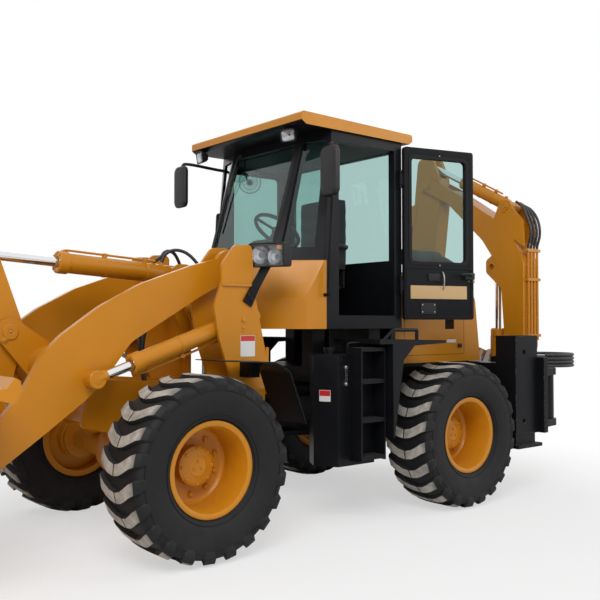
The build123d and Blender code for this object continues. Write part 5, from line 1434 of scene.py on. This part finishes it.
for lever in range(3):
    foot = Vector(from_rear(0.940, -0.34 - 0.055 * lever, 1.452))
    top = foot + Vector((0.040, 0.0, 0.510 - 0.02 * lever))
    console_parts.append(smooth_tube(
        [tuple(foot), tuple(foot.lerp(top, 0.6) + Vector((0.02, 0, 0))), tuple(top)], 0.007, 8,
        finish=bolt_steel
    ))
    knob = [
        (-0.030, 0.0), (-0.030, 0.008), (-0.018, 0.014), (0.0, 0.020), (0.014, 0.018), (0.022, 0.009),
        (0.024, 0.0)
    ]
    console_parts.append(lathe("knob", knob, 20, centre=tuple(top), finish=console_plastic))
console_parts.append(
    box_mesh(
        from_rear(0.880, -0.50, 1.4505), from_rear(1.000, -0.30, 1.560), 0.012, 3, finish=console_plastic
    )
)
stands_for(
    "control_console_moulded", shaded(joined("console", console_parts), 40), "chassis", "console",
    "control_console"
)

# Pins, bolts and keepers: each pin shows a flanged head with a keeper bar held by a bolt, and
# the axle saddles, tower and tank carry their bolts. They are laid out once and set in place.
bolt_black = finish_material("bolt_black", (0.012, 0.012, 0.013), 0.45, 0.1, 0.2, shine=0.4)
worn_steel = finish_material("worn_steel", (0.30, 0.28, 0.26), 0.42, 0.35, 0.3, metallic=0.8, bump=0.001)


def bolts(places, out, size, finish, up=(0, 0, 1)):
    """Bolt heads at several places that all look the same way."""
    heads = [hex_bolt(size, size * 0.85, finish) for _ in places]
    for head, place in zip(heads, places):
        head.transform(facing(place, out, up))
    return heads


def pin_head(place, out, radius, finish, turn=0.0):
    """The flanged end of a pin with its keeper bar, grease nipple and one bolt."""
    flange = [
        (-0.004, 0.0), (-0.004, radius * 1.2), (0.007, radius * 1.2), (0.010, radius * 1.12),
        (0.010, radius * 0.45), (0.007, radius * 0.36), (0.007, 0.0)
    ]
    nipple = [(0.006, 0.0), (0.006, 0.006), (0.013, 0.006), (0.016, 0.0035), (0.019, 0.004), (0.020, 0.0)]
    parts = [
        lathe("flange", flange, 32, finish=finish), lathe("nipple", nipple, 12, finish=bolt_steel),
        box_mesh(
            (-radius * 0.42, radius * 0.95, -0.002), (radius * 0.42, radius * 1.95, 0.008), 0.002,
            finish=finish
        )
    ]
    parts += bolts([(0.0, radius * 1.55, 0.008)], (0, 0, 1), radius * 0.20, finish, (0, 1, 0))
    return set_at(facing(place, out) @ Matrix.Rotation(turn, 4, "Z"), *parts)


SADDLE_TOP = 0.7233
PIN_HEADS = [
    # body, direction of the pin, its middle, half its length, radius, turn of the keeper
    ("front_body", "Y", (FRONT_AXLE_X - 0.370, 0, 1.755), 0.105, 0.030, 2.0),
    ("arms", "Y", (FRONT_AXLE_X + 0.850, 0, 1.360), 0.125, 0.040, 2.5),
    ("lever", "Y", (FRONT_AXLE_X + 1.050, 0, 0.450), 0.080, 0.032, 0.0),
    ("bucket", "Y", (FRONT_AXLE_X + 1.400, 0, 0.380), 0.550, 0.038, -1.2),
    ("slew_post", "X", (DIGGER_X, 0.600, 0.880), 0.145, 0.038, 1.6),
    ("slew_post", "X", (DIGGER_X, 0.390, 0.620), 0.145, 0.028, 1.6),
    ("hoe_boom", "X", (DIGGER_X, -0.380, 2.780), 0.110, 0.036, 2.2),
    ("hoe_boom", "X", (DIGGER_X, 0.560, 2.470), 0.106, 0.026, 2.9),
    ("hoe_stick", "X", (DIGGER_X, -0.690, 2.500), 0.085, 0.024, 1.6),
    ("hoe_rocker", "X", (DIGGER_X, -0.470, 1.630), 0.107, 0.030, 0.0),
    ("digging_bucket", "X", (DIGGER_X, -0.480, 1.330), 0.110, 0.034, 2.4),
]
fitting_meshes = {
    "front_body": pin_head((FRONT_AXLE_X - 0.500, -0.687, 1.810), (0, -1, 0), 0.038, machine_yellow, 3.1)
}
for body, axis, middle, half, radius, turn in PIN_HEADS:
    finish = satin_black if body == "slew_post" else machine_yellow
    for side in (1, -1):
        out = Vector((side, 0, 0)) if axis == "X" else Vector((0, side, 0))
        fitting_meshes.setdefault(body, []).extend(
            pin_head(Vector(middle) + out * half, out, radius, finish, side * turn)
        )
for body, axle_x, across, top in (
    ("front_body", FRONT_AXLE_X, 0.335, SADDLE_TOP), ("chassis", REAR_AXLE_X, 0.395, SADDLE_TOP - 0.020)
):
    finish = machine_yellow if body == "front_body" else satin_black
    places = [(axle_x + x, side * across, top) for x in (-0.110, -0.040, 0.040, 0.110) for side in (1, -1)]
    fitting_meshes.setdefault(body, []).extend(bolts(places, (0, 0, 1), 0.013, finish, (1, 0, 0)))
# Ledge across the tower, the row of remote grease points and the plate under them, left bare
for side in (1, -1):
    inner_y, outer_y = side * 0.686, side * 0.700
    fitting_meshes["front_body"].append(box_mesh(
        (FRONT_AXLE_X - 0.572, inner_y, 1.655), (FRONT_AXLE_X - 0.318, outer_y, 1.672), 0.004,
        finish=machine_yellow
    ))
    for x, z, size in ((-0.487, 1.432, 0.013), (-0.487, 1.384, 0.008), (-0.485, 1.362, 0.006)):
        fitting_meshes["front_body"] += bolts(
            [(FRONT_AXLE_X + x, side * 0.687, z)], (0, side, 0), size, machine_yellow
        )
for body, meshes in fitting_meshes.items():
    stands_for(
        body + "_pins_and_bolts", shaded(joined(body + "_pins", meshes)), body,
        "black_paint" if body in ("chassis", "slew_post") else "yellow_paint"
    )
for name, where in (
    ("loader_bucket_plates", lambda spot: spot.x > 3.045 and spot.z < 0.720 or spot.x > 3.10),
    ("hoe_bucket_plates", lambda spot: spot.y > 0.100 and spot.z > 1.025)
):
    bucket_mesh = bpy.data.objects[name].data
    bucket_mesh.materials.append(worn_steel)
    for face in bucket_mesh.polygons:
        if where(face.center):
            face.material_index = 1

# Plates without lettering: white ones with a red head on the tower and on the tank, a white strip
# on the hood. They are printed foil, left blank.
blank_white = finish_material("blank_white", (0.72, 0.72, 0.70), 0.35, 0.15, 0.2, coat=0.3)
blank_red = finish_material("blank_red", (0.55, 0.018, 0.016), 0.35, 0.15, 0.2, coat=0.3)


def blank_plate(place, out, width, height, head):
    """A thin plate with rounded corners and a coloured head of the given height."""
    parts = [housing(
        "foil",
        [
            (width, height, 0.004, -0.001), (width, height, 0.004, 0.0012),
            (width - 0.001, height - 0.001, 0.004, 0.0016)
        ],
        blank_white
    )]
    if head:
        band = housing(
            "head", [(width - 0.004, head, 0.003, 0.0010), (width - 0.005, head - 0.001, 0.003, 0.0021)],
            blank_red
        )
        band.transform(Matrix.Translation((0, (height - head) / 2 - 0.002, 0)))
        parts.append(band)
    return set_at(facing(place, out), *parts)


tower_plates = blank_plate((FRONT_AXLE_X - 0.525, 0.6872, 1.262), (0, 1, 0), 0.118, 0.140, 0.036)
tower_plates += blank_plate((FRONT_AXLE_X - 0.525, -0.6872, 1.262), (0, -1, 0), 0.118, 0.140, 0.036)
stands_for("tower_blank_plates", joined("tower_blank_plates", tower_plates), "front_body", "yellow_paint")
side_plates = blank_plate(from_rear(1.224, 0.7777, 0.905), (0.898, 0.441, 0), 0.085, 0.080, 0.040)
side_plates += blank_plate(from_rear(-0.395, 0.5602, 1.262), (0, 1, 0), 0.120, 0.026, 0.0)
stands_for("side_blank_plates", joined("side_blank_plates", side_plates), "chassis", "black_paint")

# Hood fittings: wire mesh behind the vents, a slatted grille at the rear, rubber-edged seams of the
# side doors, their latches, and the cluster of signal lamps at its corner.
signal_red = finish_material("signal_red", (0.50, 0.012, 0.010), 0.15, 0.05, 0.0, coat=0.6, bump=0.0002)


def bars(low, high, step, copies, finish, soft=0.001):
    """A row of equal bars, one step apart."""
    return repeated("bars", box_mesh(low, high, soft, 1, finish=finish), ROW_TREE, copies, step, finish)


hood_parts = [
    bars(
        from_rear(-0.790, -0.430, 1.160), from_rear(-0.762, 0.430, 1.176), (0.00366, 0.0, 0.030), 14,
        moulded_black, 0.003
    ),
]
for side in (1, -1):
    inner_y, outer_y = side * 0.543, side * 0.547
    hood_parts += [
        bars(
            from_rear(-0.436, inner_y, 1.360), from_rear(-0.310, outer_y, 1.362), (0, 0, 0.008), 13,
            bolt_black
        ),
        bars(
            from_rear(-0.434, inner_y, 1.358), from_rear(-0.432, outer_y, 1.460), (0.008, 0, 0), 16,
            bolt_black
        ),
        bars(
            from_rear(-0.434, inner_y, 1.520), from_rear(-0.432, outer_y, 1.600), (0.008, 0, 0), 16,
            bolt_black
        )
    ]
    inner_y, outer_y = side * 0.5595, side * 0.5612
    for low_at, high_at in (
        ((-0.560, 1.150), (-0.557, 1.700)), ((0.180, 1.150), (0.183, 1.700)),
        ((-0.560, 1.697), (0.183, 1.700)), ((-0.560, 1.150), (0.183, 1.153))
    ):
        hood_parts.append(box_mesh(
            from_rear(low_at[0], inner_y, low_at[1]), from_rear(high_at[0], outer_y, high_at[1]), 0.0004, 1,
            finish=seal_rubber
        ))
    for x in (-0.500, 0.120):
        inner_y, outer_y = side * 0.559, side * 0.572
        hood_parts.append(box_mesh(
            from_rear(x - 0.022, inner_y, 1.205), from_rear(x + 0.022, outer_y, 1.240), 0.005, 3,
            finish=moulded_black
        ))
    cluster_y = side * 0.470
    for x, finish in ((-0.560, signal_red), (-0.520, blank_white), (-0.480, amber_lens)):
        lens = housing(
            "cluster_lens",
            [(0.036, 0.044, 0.006, 0.0), (0.036, 0.044, 0.006, 0.014), (0.026, 0.034, 0.006, 0.019)], finish
        )
        hood_parts += set_at(facing(from_rear(x, cluster_y + side * 0.022, 1.862), (0, side, 0)), lens)
    inner_y, outer_y = cluster_y - side * 0.020, cluster_y + side * 0.024
    hood_parts.append(box_mesh(
        from_rear(-0.582, inner_y, 1.800), from_rear(-0.458, outer_y, 1.888), 0.006, 3, finish=moulded_black
    ))
stands_for("hood_fittings", shaded(joined("hood_fittings", hood_parts)), "chassis", "black_paint")

# Cab fittings: wiper on the windscreen, a small fan behind it, lining of the ceiling, pedals and a
# ribbed floor mat.
SCREEN_FOOT, SCREEN_HEAD = Vector(from_rear(1.430, 0, 1.850)), Vector(from_rear(1.151, 0, 2.815))
SCREEN_OUT = Vector((0.9607, 0.0, 0.2777))


def on_screen(height, across, proud):
    """A point over the windscreen, by its height and its place across."""
    share = (height - SCREEN_FOOT.z) / (SCREEN_HEAD.z - SCREEN_FOOT.z)
    spot = SCREEN_FOOT.lerp(SCREEN_HEAD, share) + SCREEN_OUT * proud
    return (spot.x, across, spot.z)


cab_parts = [
    smooth_tube(
        [
            on_screen(2.765, -0.300, -0.004), on_screen(2.765, -0.300, 0.030), on_screen(2.74, -0.300, 0.034),
            on_screen(2.50, -0.335, 0.030), on_screen(2.44, -0.345, 0.012)
        ],
        0.006, 8, finish=moulded_black
    ),
    smooth_tube(
        [
            on_screen(2.68, -0.325, 0.002), on_screen(2.60, -0.333, 0.004), on_screen(2.20, -0.352, 0.004),
            on_screen(2.14, -0.355, 0.002)
        ],
        0.0065, 8, finish=seal_rubber
    ),
    lathe(
        "wiper_hub", [(-0.01, 0.0), (-0.01, 0.020), (0.012, 0.018), (0.018, 0.010), (0.018, 0.0)], 20,
        finish=moulded_black
    )
]
cab_parts[2].transform(facing(on_screen(2.765, -0.300, 0.004), SCREEN_OUT))
fan_place = facing(from_rear(1.085, -0.300, 2.560), (0.55, 0.80, -0.15))
fan_parts = [lathe(
    "fan_hub", [(-0.030, 0.0), (-0.030, 0.026), (0.020, 0.024), (0.030, 0.014), (0.030, 0.0)], 24,
    finish=moulded_black
)]
for ring_z, ring_r in ((-0.018, 0.086), (0.0, 0.092), (0.018, 0.086), (0.026, 0.060)):
    ring = [(ring_z + 0.0018 * cos(tau * i / 6), ring_r + 0.0018 * sin(tau * i / 6)) for i in range(6)]
    fan_parts.append(lathe("cage_ring", ring, 40, finish=bolt_steel))
spoke = smooth_tube(
    [(0.020, 0, 0.029), (0.062, 0, 0.027), (0.090, 0, 0.016), (0.093, 0, -0.004), (0.086, 0, -0.019)], 0.0011,
    4, finish=bolt_steel
)
fan_parts.append(repeated("cage", spoke, ROUND_TREE, 24, (0, 0, tau / 24), bolt_steel))
blade = box_mesh((0.018, -0.020, -0.0015), (0.078, 0.020, 0.0015), 0.001, 1, finish=clear_lens)
blade.transform(Matrix.Rotation(radians(24), 4, "X"))
fan_parts.append(repeated("blades", blade, ROUND_TREE, 4, (0, 0, tau / 4), clear_lens))
cab_parts += set_at(fan_place, *fan_parts)
cab_parts.append(smooth_tube(
    [from_rear(1.100, -0.310, 2.560), from_rear(1.115, -0.330, 2.640), from_rear(1.110, -0.340, 2.772)],
    0.007, 8, finish=moulded_black
))
cab_parts += [
    box_mesh(
        from_rear(0.410, -0.630, 2.745), from_rear(1.090, 0.630, 2.770), 0.012, 3, finish=console_plastic
    ),
    box_mesh(from_rear(0.420, -0.560, 1.4502), from_rear(1.230, 0.560, 1.456), 0.002, 1, finish=seal_rubber),
    bars(from_rear(0.900, -0.500, 1.456), from_rear(1.100, -0.494, 1.4595), (0, 0.020, 0), 50, seal_rubber)
]
for y in (-0.200, 0.190, 0.290):
    pedal = box_mesh((-0.004, -0.032, -0.045), (0.004, 0.032, 0.045), 0.003, finish=seal_rubber)
    pedal.transform(Matrix.Translation(from_rear(1.180, y, 1.560)) @ Matrix.Rotation(radians(-35), 4, "Y"))
    cab_parts.append(pedal)
    cab_parts.append(smooth_tube(
        [from_rear(1.184, y, 1.556), from_rear(1.225, y, 1.540), from_rear(1.235, y, 1.452)], 0.007, 8,
        finish=bolt_steel
    ))
stands_for("cab_fittings", shaded(joined("cab_fittings", cab_parts)), "chassis", "black_paint")

# Tank fittings on both step tanks: rows of pressed studs on the treads, a lifting loop, the sight
# gauge between its two bosses, and the bolts that hold the tank.
stud = lathe("stud", [(-0.001, 0.0), (-0.001, 0.0065), (0.0025, 0.0045), (0.0025, 0.0)], 8, finish=bolt_black)
row = repeated("stud_row", stud, ROW_TREE, 9, (0.023, 0, 0), bolt_black)
field = repeated("studs", row, ROW_TREE, 5, (0, 0.023, 0), bolt_black)
tank_parts = []
for side in (1, -1):
    for step_z in (0.485, 0.745, 1.015, 1.240):
        treads = field.copy()
        treads.transform(Matrix.Translation(from_rear(0.862, side * 0.925 - 0.046, step_z)))
        tank_parts.append(treads)
    tank_parts.append(smooth_tube(
        [
            from_rear(0.900, side * 0.835, 1.188), from_rear(0.900, side * 0.835, 1.260),
            from_rear(0.910, side * 0.835, 1.272), from_rear(1.050, side * 0.835, 1.272),
            from_rear(1.060, side * 0.835, 1.260), from_rear(1.060, side * 0.835, 1.188)
        ],
        0.008, 10, finish=satin_black
    ))
    gauge = [smooth_tube([(0.022, y, 0.014) for y in (-0.055, 0.0, 0.055)], 0.006, 8, finish=clear_lens)]
    for y in (-0.058, 0.058):
        gauge.append(lathe(
            "boss", [(-0.002, 0.0), (-0.002, 0.014), (0.016, 0.013), (0.020, 0.009), (0.020, 0.0)], 16,
            centre=(0.022, y, 0), finish=bolt_steel
        ))
    tank_parts += set_at(facing(from_rear(1.135, side * 0.867, 1.045), (0, side, 0)), *gauge)
    tank_parts += bolts(
        [from_rear(x, side * 0.867, z) for x, z in ((1.100, 0.470), (1.150, 1.150))], (0, side, 0), 0.011,
        satin_black
    )
stands_for("tank_fittings", shaded(joined("tank_fittings", tank_parts)), "chassis", "black_paint")

# Hoses: black rubber hydraulic hoses. Four turn with the slewing post,
# four run over the elbow of the boom, and loops feed the cylinders; each line is one smooth curve.
SLEW_Y = 0.870
hose_rubber = finish_material("hose_rubber", (0.015, 0.015, 0.016), 0.5, 0.15, 0.0, bump=0.0006)
HOSE_LOOP = [
    # ahead of the slewing axis, to its left
    (-0.1453, -0.190), (-0.185, -0.190), (-0.222, -0.160), (-0.248, -0.105), (-0.261, -0.040),
    (-0.261, 0.040), (-0.246, 0.105), (-0.205, 0.165), (-0.145, 0.205), (-0.070, 0.225), (0.020, 0.222),
    (0.095, 0.185), (0.150, 0.125),
]
HOSE_RUNS = []
for i in range(4):
    hose_z = 1.045 + 0.031 * i
    HOSE_RUNS.append(
        ("slew_hose", "slew_post", 0.028, [(DIGGER_X + x, SLEW_Y + y, hose_z) for x, y in HOSE_LOOP])
    )
    pipe_x = DIGGER_X - 0.080 + 0.045 * i
    bend = [
        (0.765, 2.0803), (0.765, 2.100), (0.778, 2.140), (0.792, 2.180), (0.798, 2.235),
        (0.790 - 0.004 * i, 2.300), (0.764 - 0.004 * i, 2.370), (0.724, 2.425 + 0.005 * i),
        (0.682, 2.462 + 0.008 * i), (0.640, 2.482 + 0.010 * i)
    ]
    HOSE_RUNS.append(("boom_hose", "hoe_boom", 0.024, [(pipe_x, y, z) for y, z in bend]))
for side in (1, -1):
    HOSE_RUNS.append((
        "tilt_hose", "tilt_tube", 0.024,
        [
            (0.407 if side > 0 else 0.462, 0.010 * side, 1.845), (0.398, 0.012 * side, 1.878),
            (0.370, 0.026 * side, 1.918), (0.315, 0.048 * side, 1.936), (0.250, 0.076 * side, 1.920),
            (0.195, 0.108 * side, 1.865), (0.148, 0.136 * side, 1.785), (0.110, 0.156 * side, 1.690),
            (0.084, 0.166 * side, 1.612), (0.074, 0.170 * side, 1.572)
        ]
    ))
    HOSE_RUNS.append((
        "frame_hose", "front_body", 0.026,
        [
            (0.114, 0.200 + 0.03 * side, 1.480), (0.150, 0.200 + 0.03 * side, 1.500),
            (0.230, 0.205 + 0.03 * side, 1.560), (0.360, 0.212 + 0.03 * side, 1.600 + 0.02 * side),
            (0.500, 0.220 + 0.03 * side, 1.575 + 0.02 * side),
            (0.610, 0.228 + 0.03 * side, 1.490 + 0.02 * side), (0.680, 0.236 + 0.03 * side, 1.370),
            (0.700, 0.245 + 0.02 * side, 1.240), (0.690, 0.255 + 0.01 * side, 1.120),
            (0.680, 0.262 + 0.01 * side, 1.030)
        ]
    ))


def run_length(points):
    """Length of the smooth line over its control points."""
    line = [vert.co for vert in curve_mesh(smooth_curve("line", points, parts=12)).vertices]
    return sum((b - a).length for a, b in zip(line, line[1:]))


for number, (kind, body, diameter, points) in enumerate(HOSE_RUNS):
    name = f"{kind}_{number}"
    hose = smooth_curve(name, points, diameter / 2)
    hose.data.materials.append(hose_rubber)
    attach(hose, body)
    if kind == "slew_hose":
        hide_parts("slew_hoses")
    elif kind == "boom_hose":
        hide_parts("boom_hoses")
    run_length(points)
